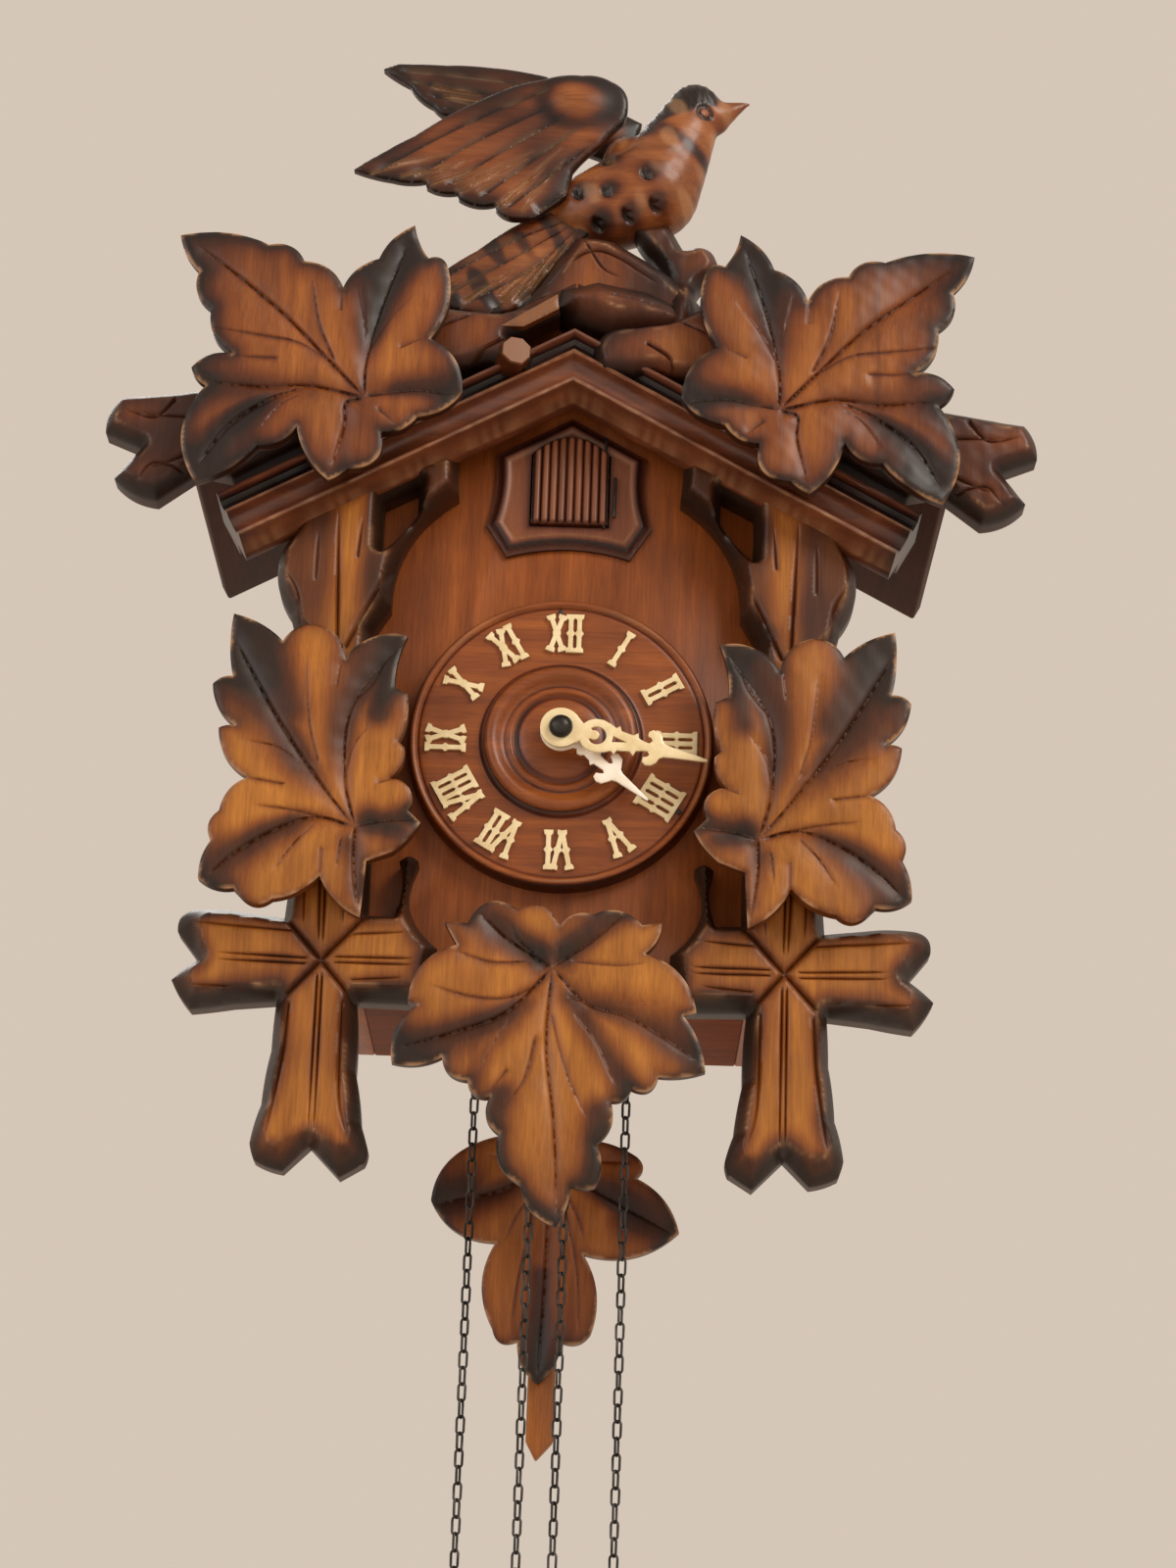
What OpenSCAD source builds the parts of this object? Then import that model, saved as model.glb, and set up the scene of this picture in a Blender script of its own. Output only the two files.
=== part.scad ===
/* [Case] */
// Half width over the case sides
case_half_w = 66.5; // [65.5:0.5:67.5]
// Thickness of the side boards
side_t = 6; // [5:0.5:6]
// Depth of the case from the wall to the front board
case_depth = 86; // [86:0.5:88]
// Height of the hanging hole above the dial centre
hanger_up = 62; // [60:0.5:64]
// Diameter of the hanging hole
hanger_d = 8; // [6:0.5:9]

/* [Roof] */
// Slope of the roof in degrees
roof_slope = 29; // [28.5:0.25:29.5]
// Half span of the roof to the lower edge of an eave
eave_x = 121; // [119:1:123]
// Height of that edge above the dial centre
eave_z = 86; // [85:0.5:88]
// Thickness of the roof boards
roof_t = 6; // [5:0.5:7]
// Width of the front moulding across its slope
fascia_w = 25; // [23:0.5:25]

/* [Dial] */
// Diameter of the turned dial
dial_d = 97; // [95:0.5:98]
// Radius of the ring of numerals
numeral_r = 36.5; // [36:0.25:37]
// Height of a numeral
numeral_h = 13; // [12:0.5:13]

/* [Going parts] */
// Swing of the pendulum to each side in degrees
swing = 4; // [2:0.5:4]
// Half distance between the two sprockets
sprocket_x = 14.75; // [14.75:0.25:15]
// Radius at which a chain runs on its sprocket
chain_r = 9.25; // [9.25:0.25:9.5]
// Diameter of the chain over its links
chain_d = 3.4; // [3:0.1:3.4]

/* [Hidden] */

$fn = 48;
FIT = 0.05;

// Depths are measured from the wall, and the front of the clock lies towards -Y
board_t = 6;
front_y = case_depth + board_t;
frame_t = 15;
frame_y = front_y + frame_t;
leaf_t = 13;
gable_y = 105;
fascia_y = 117;
case_low = -78.5;
floor_t = 6;
floor_top = case_low + floor_t;
back_t = 8;
back_split = 50;
door_low = -60;

// Movement levels
plate_half_w = 38;
plate_t = 1.5;
back_plate_y = 45;
front_plate_y = 76;
chain_y = 60;
pendulum_y = 38;
pivot_z = 44;
great_z = -26;
arbor_r = 1.5;
pin_r = 1;
great_arbor_r = 1.2;
motion_arbor_r = 0.8;
hammer_pivot = [24, 20];
pillar_x = 33;
pillar_z = 50;
pillar_r = 3;
stub_r = 2;

module placed() translate([0, 0, -hanger_up]) children();

// A flat piece drawn in x and z, from depth y towards the front
module slab(y, t) translate([0, -y, 0]) rotate([90, 0, 0]) linear_extrude(t) children();

// A round pin along the depth, from depth y0 to depth y1
module pin_y(r, y0, y1, x = 0, z = 0)
    translate([x, -y0, z]) rotate([90, 0, 0]) cylinder(r = r, h = y1 - y0);

module box_from(low, high) translate(low) cube(high - low);

module mirror_x(flip) mirror([flip ? 1 : 0, 0, 0]) children();

function roof_under(x) = eave_z + (eave_x - abs(x)) * tan(roof_slope);

// Outline points [x, z, bulge]: each edge to the next point is an arc that bulges out
// by that share of its length, for points that run clockwise
function outline(pts, n = 5) = [for (i = [0 : len(pts) - 1])
    let (a = pts[i], b = pts[(i + 1) % len(pts)], k = a[2], m = k == 0 ? 1 : n)
    for (j = [0 : m - 1])
        let (t = j / m, w = 4 * k * t * (1 - t))
        [a[0] + (b[0] - a[0]) * t - (b[1] - a[1]) * w, a[1] + (b[1] - a[1]) * t + (b[0] - a[0]) * w]];

module carved(pts) polygon(outline(pts));

// ---- Leaf outlines, clockwise seen from the front ----
LEAF_SIDE = [[-104, 33, .08], [-88, 24, .16], [-78, 30, .18], [-68, 18, .1], [-60, 26, .1],
    [-49, 27, -.06], [-52, 9, 0], [-48, 7, .08], [-50, -9, 0], [-48, -11, .12], [-52, -21, .12],
    [-46, -24, .16], [-46, -31, 0], [-42, -35, .06], [-50, -45, 0], [-58, -48, 0],
    [-59, -66, .1], [-72, -53, .1], [-86, -61, .22], [-95, -61, 0], [-98, -58, .12],
    [-109, -55, .08], [-106, -43, .2], [-104, -33, .14], [-96, -22, .14], [-106, -6, .1],
    [-101, -5, .12], [-109, 9, .14], [-103, 12, .05]];
LEAF_TOP = [[-129, 161, .1], [-100, 158, .2], [-88, 152, .16], [-75, 143, .12],
    [-64, 154, .1], [-53, 167, -.06], [-48, 155, .25], [-42, 153, .12], [-46, 125, .16],
    [-35, 107, .12], [-49, 98, .14], [-60, 92, .3], [-70, 79, .05], [-76, 75, .1],
    [-87, 93, .16], [-99, 86, .08], [-118, 73, .18], [-117, 107, .1], [-122, 113, .15],
    [-109, 118, .16], [-117, 134, .18], [-122, 148, .08]];
LEAF_LOW = [[2, -67, .18], [12, -63, .2], [27, -66, 0], [33, -65, .12], [28, -75, .16],
    [44, -93, 0], [40, -94, .08], [47, -111, .06], [33, -113, .3], [25, -117, .2],
    [19, -121, .18], [15, -134, .14], [15, -147, .1], [8, -147, .06], [4, -159, .16],
    [-7, -147, .2], [-14, -132, .22], [-17, -121, .24], [-24, -116, .2], [-32, -109, .1],
    [-47, -111, .16], [-40, -93, 0], [-43, -92, .18], [-29, -74, 0], [-33, -67, .02],
    [-26, -67, .3], [-11, -62, .26]];
LEAF_BOB = [[-25, -119, .12], [2, -118, .12], [28, -121, .3], [28, -128, .12], [42, -145, .14],
    [12, -153, .12], [15, -178, .2], [6, -181, .1], [-1, -194, .14], [-8, -181, .3],
    [-16, -177, .14], [-16, -150, .16], [-37, -137, .14]];

// Carved frame of the left side: trunk, arched inner rail, stem and crossed branches
FRAME = [[-37, 98, 0], [-36, 84, -.14], [-56, 44, 0], [-62, 34, 0], [-58, -40, 0], [-58, -62, 0],
    [-50, -62, -.1], [-49, -42, .3], [-43, -42, -.2], [-36, -72, 0], [-38, -92, 0],
    [-59, -92, .05], [-53, -139, .1], [-61, -148, 0], [-71, -137, .1], [-81, -146, .25],
    [-90, -133, .04], [-84, -92, 0], [-111, -96, .2], [-117, -86, 0], [-110, -79, 0],
    [-116, -72, .3], [-109, -63, 0], [-82, -66, 0], [-80, -40, 0], [-82, 30, .1], [-88, 40, .12],
    [-92, 62, 0], [-84, 78, 0]];

module leaf(pts) slab(frame_y, leaf_t) carved(pts);

// ---- Case ----
module case_side(flip) color("saddlebrown") placed() mirror_x(flip)
    slab(0, case_depth) polygon([[case_half_w - side_t, case_low], [case_half_w, case_low],
        [case_half_w, roof_under(case_half_w)], [case_half_w - side_t, roof_under(case_half_w - side_t)]]);
module case_side_left() case_side(true);
module case_side_right() case_side(false);

slot_half = 4.5;
leader_half = (pivot_z - case_low) * tan(swing) + 6;
strands = [-sprocket_x - chain_r, -sprocket_x + chain_r, sprocket_x - chain_r, sprocket_x + chain_r];
inner_w = case_half_w - side_t;
module case_floor() color("peru") placed() difference() {
    box_from([-inner_w, -case_depth, floor_top - floor_t], [inner_w, 0, floor_top]);
    for (x = strands)
        box_from([x - slot_half, -chain_y - slot_half, floor_top - floor_t - 1],
            [x + slot_half, -chain_y + slot_half, floor_top + 1]);
    box_from([-leader_half, -pendulum_y - slot_half, floor_top - floor_t - 1],
        [leader_half, -pendulum_y + slot_half, floor_top + 1]);
}

hinge_x = 4 - inner_w;
hinge_y = 5.5;
door_in = 2.5;
door_t = 6;
module back_gable_board() color("burlywood") placed() difference() {
    slab(0, back_t) polygon([[-inner_w, back_split], [inner_w, back_split],
        [inner_w, roof_under(inner_w)], [0, roof_under(0)], [-inner_w, roof_under(inner_w)]]);
    pin_y(hanger_d / 2, -1, back_t + 1, 0, hanger_up);
    translate([hinge_x, -hinge_y, back_split - 1]) cylinder(r = pin_r, h = 9);
}

module back_bottom_rail() color("burlywood") placed() difference() {
    box_from([-inner_w, -back_t, floor_top], [inner_w, 0, door_low - 0.5]);
    translate([hinge_x, -hinge_y, door_low - 8.5]) cylinder(r = pin_r, h = 9);
}

module back_door() color("burlywood") placed() difference() {
    box_from([-inner_w + 1.5, -door_in - door_t, door_low], [inner_w - 0.5, -door_in, back_split - 0.5]);
    for (z = [door_low - 1, back_split - 10])
        translate([hinge_x, -hinge_y, z]) cylinder(r = pin_r + FIT, h = 11);
}

module back_hinge_pins() color("silver") placed() {
    translate([hinge_x, -hinge_y, door_low - 8.5]) cylinder(r = pin_r, h = 17);
    translate([hinge_x, -hinge_y, back_split - 9]) cylinder(r = pin_r, h = 17);
}

door_half = 12.4;
door_z0 = 76;
door_z1 = 101;
door_rise = 6;
arch_r = (door_half * door_half + door_rise * door_rise) / (2 * door_rise);
module arch(grow) intersection() {
    translate([-door_half - grow, door_z0 - grow]) square([2 * (door_half + grow), door_z1 + 30]);
    translate([0, door_z1 + door_rise - arch_r]) circle(r = arch_r + grow, $fn = 96);
}

module front_board() color("sienna") placed() difference() {
    slab(case_depth, board_t) polygon([[-case_half_w, case_low], [case_half_w, case_low],
        [case_half_w, roof_under(case_half_w)], [0, roof_under(0)],
        [-case_half_w, roof_under(case_half_w)]]);
    slab(case_depth - 1, board_t + 2) arch(0.6);
    pin_y(5, case_depth - 1, front_y + 1);
}

// ---- Roof ----
module roof_board(flip) color("saddlebrown") placed() mirror_x(flip) slab(0, gable_y)
    polygon([[eave_x, eave_z], [eave_x + roof_t * sin(roof_slope), eave_z + roof_t * cos(roof_slope)],
        [0, roof_under(0) + roof_t / cos(roof_slope)], [0, roof_under(0)]]);
module roof_board_left() roof_board(true);
module roof_board_right() roof_board(false);

fascia_apex = 109;
fascia_len = 115;
function fascia_at(s, h) = [s * cos(roof_slope) + h * sin(roof_slope),
    fascia_apex - s * sin(roof_slope) + h * cos(roof_slope)];
fascia_low = 6;
fascia_flat = 14;
fascia_back = 12;
// A strip of the moulding along one slope, from height h0 to h1 across it and from depth y0 to y1
module fascia_strip(h0, h1, y0, y1)
    slab(y0, y1 - y0) polygon([[0, fascia_apex + h0 / cos(roof_slope)],
        [0, fascia_apex + h1 / cos(roof_slope)], fascia_at(fascia_len, h1), fascia_at(fascia_len, h0)]);
module fascia(flip) color("brown") placed() mirror_x(flip) {
    fascia_strip(fascia_back, fascia_w, front_y, gable_y);
    fascia_strip(fascia_low, fascia_w, gable_y, gable_y + 5);
    fascia_strip(fascia_low, fascia_flat, gable_y + 5, fascia_y);
    fascia_strip(fascia_flat, fascia_flat + 1.5, gable_y + 5, fascia_y - 3);
    fascia_strip(fascia_w - 4, fascia_w, gable_y + 5, fascia_y - 2);
}
module fascia_left() fascia(true);
module fascia_right() fascia(false);

// ---- Front ----
plate_y = 3.5;
ESCUTCHEON = [[0, 115, 0], [25, 101, -.06], [27, 76, 0], [20, 65, -.08], [-20, 65, 0],
    [-27, 76, -.06], [-25, 101, 0]];
door_pin_x = 11.3;
door_pin_y = front_y + 4.4;
wire_r = 0.45;
wire_legs = [door_z0 - 0.6, door_z0 + 31];
module escutcheon() color("sienna") placed() difference() {
    slab(front_y, plate_y) carved(ESCUTCHEON);
    slab(front_y - 1, plate_y + 2) arch(0.6);
    for (z = wire_legs) pin_y(wire_r, front_y - 1, door_pin_y, door_pin_x, z);
}

reeds = 9;
reed_r = 1.25;
module cuckoo_door() color("saddlebrown") placed() difference() {
    union() {
        slab(front_y + 2, 2.6) arch(0);
        intersection() {
            for (i = [0 : reeds - 1])
                translate([(i - (reeds - 1) / 2) * 2.7, -front_y - 4.4, door_z0])
                    cylinder(r = reed_r, h = door_z1 + door_rise - door_z0);
            slab(front_y, 10) arch(0);
        }
    }
    translate([door_pin_x, -door_pin_y, door_z0 - 1]) cylinder(r = wire_r + FIT, h = 40);
}

// Straight pin through the edge of the door, and the wire staple beside it
staple_x = 14.6;
staple_z = 79;
staple_h = 14;
staple_r = 0.5;
staple_out = 0.6;
module cuckoo_door_wire() color("black") placed() {
    translate([door_pin_x, -door_pin_y, wire_legs[0]])
        cylinder(r = wire_r, h = wire_legs[1] - wire_legs[0]);
    for (z = wire_legs) pin_y(wire_r, front_y, door_pin_y, door_pin_x, z);
    translate([staple_x, -front_y - plate_y - staple_out, staple_z]) cylinder(r = staple_r, h = staple_h);
    for (z = [staple_z + staple_r, staple_z + staple_h - staple_r])
        pin_y(staple_r, front_y + plate_y, front_y + plate_y + staple_out, staple_x, z);
}

module dial() color("sienna") placed() difference() {
    translate([0, -front_y, 0]) rotate([90, 0, 0]) rotate_extrude($fn = 96)
        polygon([[0, 0], [dial_d / 2, 0], [dial_d / 2, 5], [dial_d / 2 - 1.5, 7.5],
            [dial_d / 2 - 3, 6.4], [26, 6.4], [25.3, 8], [24, 9.6], [22, 10.4], [20, 9.4],
            [17.5, 8], [16.5, 8.8], [15.5, 8.8], [14.8, 8], [13, 9.2], [9, 10], [0, 10]]);
    pin_y(3.4, front_y - 1, front_y + 12);
}

stroke_w = 1.5;
function stroke_outline(w, h) = [[-w, h], [w, h], [w * 0.9, h - 1.2], [w / 2, h - 1.8],
    [w / 2, 1], [w * 0.95, 0], [w / 2, -1], [w / 2, 1.8 - h], [w * 0.9, 1.2 - h], [w, -h],
    [-w, -h], [-w * 0.9, 1.2 - h], [-w / 2, 1.8 - h], [-w / 2, -1], [-w * 0.95, 0],
    [-w / 2, 1], [-w / 2, h - 1.8], [-w * 0.9, h - 1.2]];
module stroke_at(x, lean) translate([x, 0]) rotate(lean) polygon(stroke_outline(stroke_w, numeral_h / 2));
module letter_v(x) {
    stroke_at(x - 1.3, 12);
    stroke_at(x + 1.3, -12);
}
module letter_x(x) {
    stroke_at(x, 19);
    stroke_at(x, -19);
}
// Each numeral is a list of marks [kind, place], where kind 1 is I, 5 is V and 10 is X
NUMERALS = [[[10, -2.6], [1, 1.9], [1, 4.6]], [[1, 0]], [[1, -1.4], [1, 1.4]],
    [[1, -2.7], [1, 0], [1, 2.7]], [[1, -4.2], [1, -1.4], [1, 1.4], [1, 4.2]], [[5, 0]],
    [[5, -1.4], [1, 2.8]], [[5, -2.8], [1, 1.4], [1, 4.1]], [[5, -4], [1, 0.1], [1, 2.8], [1, 5.4]],
    [[1, -3.4], [10, 1]], [[10, 0]], [[10, -1.4], [1, 3.1]]];
module dial_numerals() color("ivory") placed() slab(front_y + 6.4, 1.1)
    for (i = [0 : 11]) rotate(-30 * i) translate([0, numeral_r])
        for (mark = NUMERALS[i]) {
            if (mark[0] == 1) stroke_at(mark[1], 0);
            if (mark[0] == 5) letter_v(mark[1]);
            if (mark[0] == 10) letter_x(mark[1]);
        }

nail_r = 0.8;
nail_ring = 44;
module dial_nails() color("dimgray") placed() for (a = [92, -31])
    pin_y(nail_r, front_y + 6.4, front_y + 7.2, nail_ring * cos(a), nail_ring * sin(a));

module frame_side(flip) color("peru") placed() mirror_x(flip) difference() {
    slab(front_y, frame_t) difference() {
        carved(FRAME);
        translate([-53, 66]) rotate(-35) square([9, 16], center = true);
    }
    mirror_x(true) {
        fascia_strip(fascia_low, 2 * fascia_w, gable_y, frame_y + 1);
        fascia_strip(fascia_back, 2 * fascia_w, front_y - 1, gable_y);
    }
}
module frame_left() frame_side(false);
module frame_right() frame_side(true);
module leaf_left() color("goldenrod") placed() leaf(LEAF_SIDE);
module leaf_right() color("goldenrod") placed() mirror_x(true) leaf(LEAF_SIDE);
module leaf_bottom() color("goldenrod") placed() leaf(LEAF_LOW);
module leaf_top_left() color("chocolate") placed() slab(fascia_y, leaf_t) carved(LEAF_TOP);
module leaf_top_right() color("chocolate") placed() mirror_x(true) slab(fascia_y, leaf_t) carved(LEAF_TOP);

// Forked branch laid along both slopes, in front of the roof boards and above the mouldings
BRANCH_HALF = [[0, 166, 0], [40, 150, 0], [60, 142, 0], [110, 113, 0], [146, 108, .1],
    [150, 96, 0], [138, 91, 0], [146, 80, .1], [132, 73, 0], [118, 84, 0], [108, 82, 0],
    [60, 110, 0], [30, 124, .2], [10, 128, .3], [12, 138, 0], [0, 142, 0]];
STEM = [[28, 150, 0], [33, 165, 0], [27, 183, .1], [23, 191, 0], [30, 189, 0], [34, 185, 0],
    [38, 191, .3], [46, 187, .3], [41, 178, 0], [41, 150, 0]];
log_t = 32;
stem_t = 12;
module roof_branch() color("sienna") placed() {
    for (flip = [false, true]) mirror_x(flip) difference() {
        slab(gable_y, fascia_y - gable_y) carved(BRANCH_HALF);
        fascia_strip(0, fascia_w, gable_y - 1, fascia_y + 1);
    }
    difference() {
        slab(gable_y - log_t, log_t) polygon([[-36, 144], [-30, 150], [-4, 181], [12, 178], [34, 160],
            [40, 142], [0, roof_under(0) + roof_t / cos(roof_slope) + 0.2]]);
        slab(bird_y - tail_back, tail_t) carved(TAIL);
    }
    slab(gable_y - stem_t, stem_t) carved(STEM);
}

// ---- Bird on the ridge ----
bird_y = 85;
wing_t = 6;
tail_t = 9;
tail_back = 5;
WING_NEAR = [[-77, 212, .02], [-16, 251, .12], [12, 246, .2], [14, 231, -.1], [20, 205, 0],
    [-21, 196, .2], [-30, 201, .2], [-43, 205, .2], [-55, 211, .1]];
WING_FAR = [[-70, 253, .03], [-10, 250, 0], [20, 222, 0], [10, 206, 0], [-30, 226, .15], [-48, 240, .15]];
TAIL = [[-54, 166, .1], [-15, 198, 0], [4, 198, 0], [4, 184, 0], [-14, 168, .2], [-36, 158, .1]];
module top_bird() color("sienna") placed() {
    hull() {
        translate([24, -bird_y, 208]) sphere(r = 17, $fn = 32);
        translate([0, -bird_y, 200]) sphere(r = 12, $fn = 32);
        translate([31, -bird_y, 222]) sphere(r = 11, $fn = 32);
    }
    hull() {
        translate([33, -bird_y, 222]) sphere(r = 11, $fn = 32);
        translate([38, -bird_y, 237]) sphere(r = 10, $fn = 32);
    }
    translate([46, -bird_y, 238.5]) rotate([0, 80, 0]) cylinder(r1 = 5, r2 = 0.8, h = 11);
    slab(bird_y + 10, wing_t) carved(WING_NEAR);
    slab(bird_y - 12, wing_t) carved(WING_FAR);
    slab(bird_y - tail_back, tail_t) carved(TAIL);
}

// ---- Cuckoo ----
cuckoo_z = 88;
bar_half = 1.5;
cuckoo_back = 66.5;
module cuckoo() color("white") placed() translate([0, -cuckoo_back, cuckoo_z]) rotate([90, 0, 0])
    rotate_extrude() polygon([[0, 0], [2, 0], [4.5, 3], [6, 7], [5.4, 11], [4, 13.5], [3.9, 16],
        [3, 18.4], [1.2, 19.6], [0.2, 22], [0, 22]]);
bar_back = 18;
bar_fit = 0.1;
guide_y = [54, 62];
guide_half = 8;
module cuckoo_bar() color("silver") placed()
    box_from([-bar_half, -cuckoo_back, cuckoo_z - bar_half], [bar_half, -bar_back, cuckoo_z + bar_half]);
module cuckoo_guide() color("burlywood") placed() difference() {
    box_from([-inner_w, -guide_y[1], cuckoo_z - guide_half], [inner_w, -guide_y[0], cuckoo_z + guide_half]);
    box_from([-bar_half - bar_fit, -guide_y[1] - 1, cuckoo_z - bar_half - bar_fit],
        [bar_half + bar_fit, -guide_y[0] + 1, cuckoo_z + bar_half + bar_fit]);
}

// ---- Movement ----
function gear_tooth(i, n, m) =
    let (a = 360 * i / n, r0 = m * (n / 2 - 1.15), r1 = m * (n / 2 + 0.75), q = 360 / n)
    [[r0, a - q * 0.3], [r0, a - q * 0.22], [r1, a - q * 0.09], [r1, a + q * 0.09], [r0, a + q * 0.22]];
module gear(n, m, turn = 0) rotate(turn) polygon([for (i = [0 : n - 1])
    for (p = gear_tooth(i, n, m)) [p[0] * cos(p[1]), p[0] * sin(p[1])]]);

// Turn that puts a wheel of n2 teeth in mesh with one of n1 teeth, which lies towards phi from it
function mesh_turn(n1, a1, n2, phi) = phi + 180 - 180 / n2 + (phi - a1) * n1 / n2;

great_teeth = 54;
pinion_teeth = 18;
great_m = 2 * norm([sprocket_x, great_z]) / (great_teeth + pinion_teeth);
centre_teeth = 60;
escape_pinion = 26;
escape_teeth = 30;
escape_m = 0.6;
cannon_teeth = 12;
motion_teeth = 36;
cannon_m = 0.5;
nut_teeth = 10;
hour_teeth = 40;
hour_m = 0.48;
motion_dist = (cannon_teeth + motion_teeth) * cannon_m / 2;
esc_z = 26;

// Arbor holes [x, z, radius] in both plates
PIVOTS = [[0, 0, arbor_r], [-sprocket_x, great_z, great_arbor_r], [sprocket_x, great_z, great_arbor_r],
    [0, esc_z, pin_r], [0, pivot_z, pin_r], [motion_dist, 0, motion_arbor_r],
    [hammer_pivot[0], hammer_pivot[1], pin_r]];
plate_half_h = 56;
foot_w = 8;
foot_h = 40;
module plate(y) slab(y, plate_t) difference() {
    union() {
        square([2 * plate_half_w, 2 * plate_half_h], center = true);
        for (x = [-plate_half_w, plate_half_w - foot_w])
            translate([x, floor_top]) square([foot_w, foot_h]);
    }
    for (p = PIVOTS) translate([p[0], p[1]]) circle(r = p[2] + FIT);
    for (x = [-pillar_x, pillar_x], z = [-pillar_z, pillar_z]) translate([x, z]) circle(r = stub_r);
}
module front_plate() color("gold") placed() plate(front_plate_y);
module back_plate() color("gold") placed() plate(back_plate_y);
module plate_pillars() color("gold") placed() for (x = [-pillar_x, pillar_x], z = [-pillar_z, pillar_z]) {
    pin_y(pillar_r, back_plate_y + plate_t, front_plate_y, x, z);
    pin_y(stub_r, back_plate_y - 1, back_plate_y + plate_t, x, z);
    pin_y(stub_r, front_plate_y, front_plate_y + plate_t + 1, x, z);
}

arbor_end = 0.5;
hour_y = 107;
minute_y = 110.2;
hand_t = 1.2;
pipe_r = 2.7;
module centre_arbor() color("silver") placed() {
    pin_y(arbor_r, back_plate_y - 1, minute_y + hand_t + 2);
    slab(67, 4) difference() {
        gear(pinion_teeth, great_m);
        circle(r = arbor_r);
    }
    slab(54, 1.2) difference() {
        gear(centre_teeth, escape_m);
        circle(r = arbor_r);
    }
    slab(79, 2) difference() {
        gear(cannon_teeth, cannon_m);
        circle(r = arbor_r);
    }
}

// Hands are drawn pointing up and then turned clockwise to their rest angles
minute_rest = 102;
hour_rest = 128.5;
module scroll(r) difference() {
    circle(r = r);
    circle(r = r * 0.4);
}
module minute_outline() difference() {
    offset(delta = 0.02) union() {
        circle(r = 6.8);
        translate([0, 11.4]) circle(r = 5.4);
        polygon(outline([[-2.2, 15, .05], [-1.6, 30, 0], [1.6, 30, .05], [2.2, 15, 0]]));
        for (s = [-1, 1]) {
            translate([s * 2.8, 18.6]) scroll(2.6);
            translate([s * 2.4, 24.2]) scroll(2.2);
            translate([s * 2.2, 29.6]) circle(r = 1.9);
        }
        polygon(outline([[-1.6, 29, .2], [0, 46.2, .2], [1.6, 29, 0]]));
    }
    circle(r = arbor_r);
    translate([0, 11.8]) difference() {
        circle(r = 3.2);
        translate([0, 2.2]) circle(r = 2.4);
    }
}
module hour_outline() difference() {
    offset(delta = 0.02) union() {
        circle(r = 5.6);
        polygon(outline([[-1.8, 4, .12], [0, 33, .12], [1.8, 4, 0]]));
        for (s = [-1, 1]) {
            translate([s * 3, 8.6]) scroll(2.5);
            translate([s * 2.8, 14]) scroll(2.2);
            translate([s * 2, 20]) circle(r = 1.7);
        }
    }
    circle(r = pipe_r);
}
module minute_hand() color("ivory") placed() slab(minute_y, hand_t) rotate(-minute_rest) minute_outline();
module hour_hand() color("ivory") placed() slab(hour_y, hand_t) rotate(-hour_rest) hour_outline();
nut_h = 3.6;
module hand_nut() color("black") placed() difference() {
    translate([0, -minute_y - hand_t, 0]) rotate([90, 0, 0]) rotate_extrude()
        polygon([[0, 0], [3.7, 0], [3.7, 1], [3, 2.4], [1.6, 3.3], [0, nut_h]]);
    pin_y(arbor_r, minute_y, minute_y + hand_t + 2);
}
hour_wheel_y = 83.2;
module hour_wheel() color("gold") placed() difference() {
    union() {
        slab(hour_wheel_y, 1.4) gear(hour_teeth, hour_m, mesh_turn(nut_teeth, 0, hour_teeth, 180));
        pin_y(pipe_r, hour_wheel_y, hour_y + hand_t);
    }
    pin_y(arbor_r + FIT, hour_wheel_y - 1, hour_y + hand_t + 1);
}
module motion_wheel() color("gold") placed() {
    pin_y(motion_arbor_r, front_plate_y - 1, 85.6, motion_dist, 0);
    translate([motion_dist, 0, 0]) {
        slab(79.2, 1.4) difference() {
            gear(motion_teeth, cannon_m, mesh_turn(cannon_teeth, 0, motion_teeth, 0));
            circle(r = motion_arbor_r);
        }
        slab(82.6, 2.6) difference() {
            gear(nut_teeth, hour_m);
            circle(r = motion_arbor_r);
        }
    }
}

drum_r = chain_r - chain_d / 2 - 0.3;
drum_t = 5;
crossing_ring = 13;
crossing_r = 5;
module great_wheel(x, y, turn) {
    pin_y(great_arbor_r, back_plate_y - arbor_end, front_plate_y + plate_t + arbor_end, x, great_z);
    translate([x, 0, great_z]) {
        slab(y, 1.6) difference() {
            gear(great_teeth, great_m, turn);
            circle(r = great_arbor_r);
            for (a = [45 : 90 : 315]) rotate(a) translate([crossing_ring, 0]) circle(r = crossing_r);
        }
        slab(chain_y - drum_t / 2, drum_t) difference() {
            circle(r = drum_r);
            circle(r = great_arbor_r);
        }
    }
}
module time_wheel() color("gold") placed() great_wheel(-sprocket_x, 68,
    mesh_turn(pinion_teeth, 0, great_teeth, atan2(great_z, -sprocket_x)));
module strike_wheel() color("gold") placed() great_wheel(sprocket_x, 50.5, 0);
anchor_y = 48.6;
anchor_t = 1;
module escape_wheel() color("gold") placed() {
    pin_y(pin_r, back_plate_y - arbor_end, front_plate_y + plate_t + arbor_end, 0, esc_z);
    translate([0, 0, esc_z]) {
        slab(53, 3.6) difference() {
            gear(escape_pinion, escape_m, mesh_turn(centre_teeth, 0, escape_pinion, 90));
            circle(r = pin_r);
        }
        slab(anchor_y, anchor_t) difference() {
            gear(escape_teeth, escape_m);
            circle(r = pin_r);
        }
    }
}
ANCHOR = [[-12, 30, 0], [-13, 38, .1], [-3, 46, 0], [3, 46, .1], [13, 38, 0], [12, 30, -.25], [0, 41, -.25]];
module anchor() color("silver") placed() {
    difference() {
        slab(anchor_y, anchor_t) carved(ANCHOR);
        pin_y(pin_r, anchor_y - 1, anchor_y + anchor_t + 1, 0, pivot_z);
    }
    pin_y(pin_r, pendulum_y - 2.5, front_plate_y + plate_t + arbor_end, 0, pivot_z);
}
lead_w = 1.6;
lead_eye_r = 3;
rod_half = 4.3;
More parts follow.
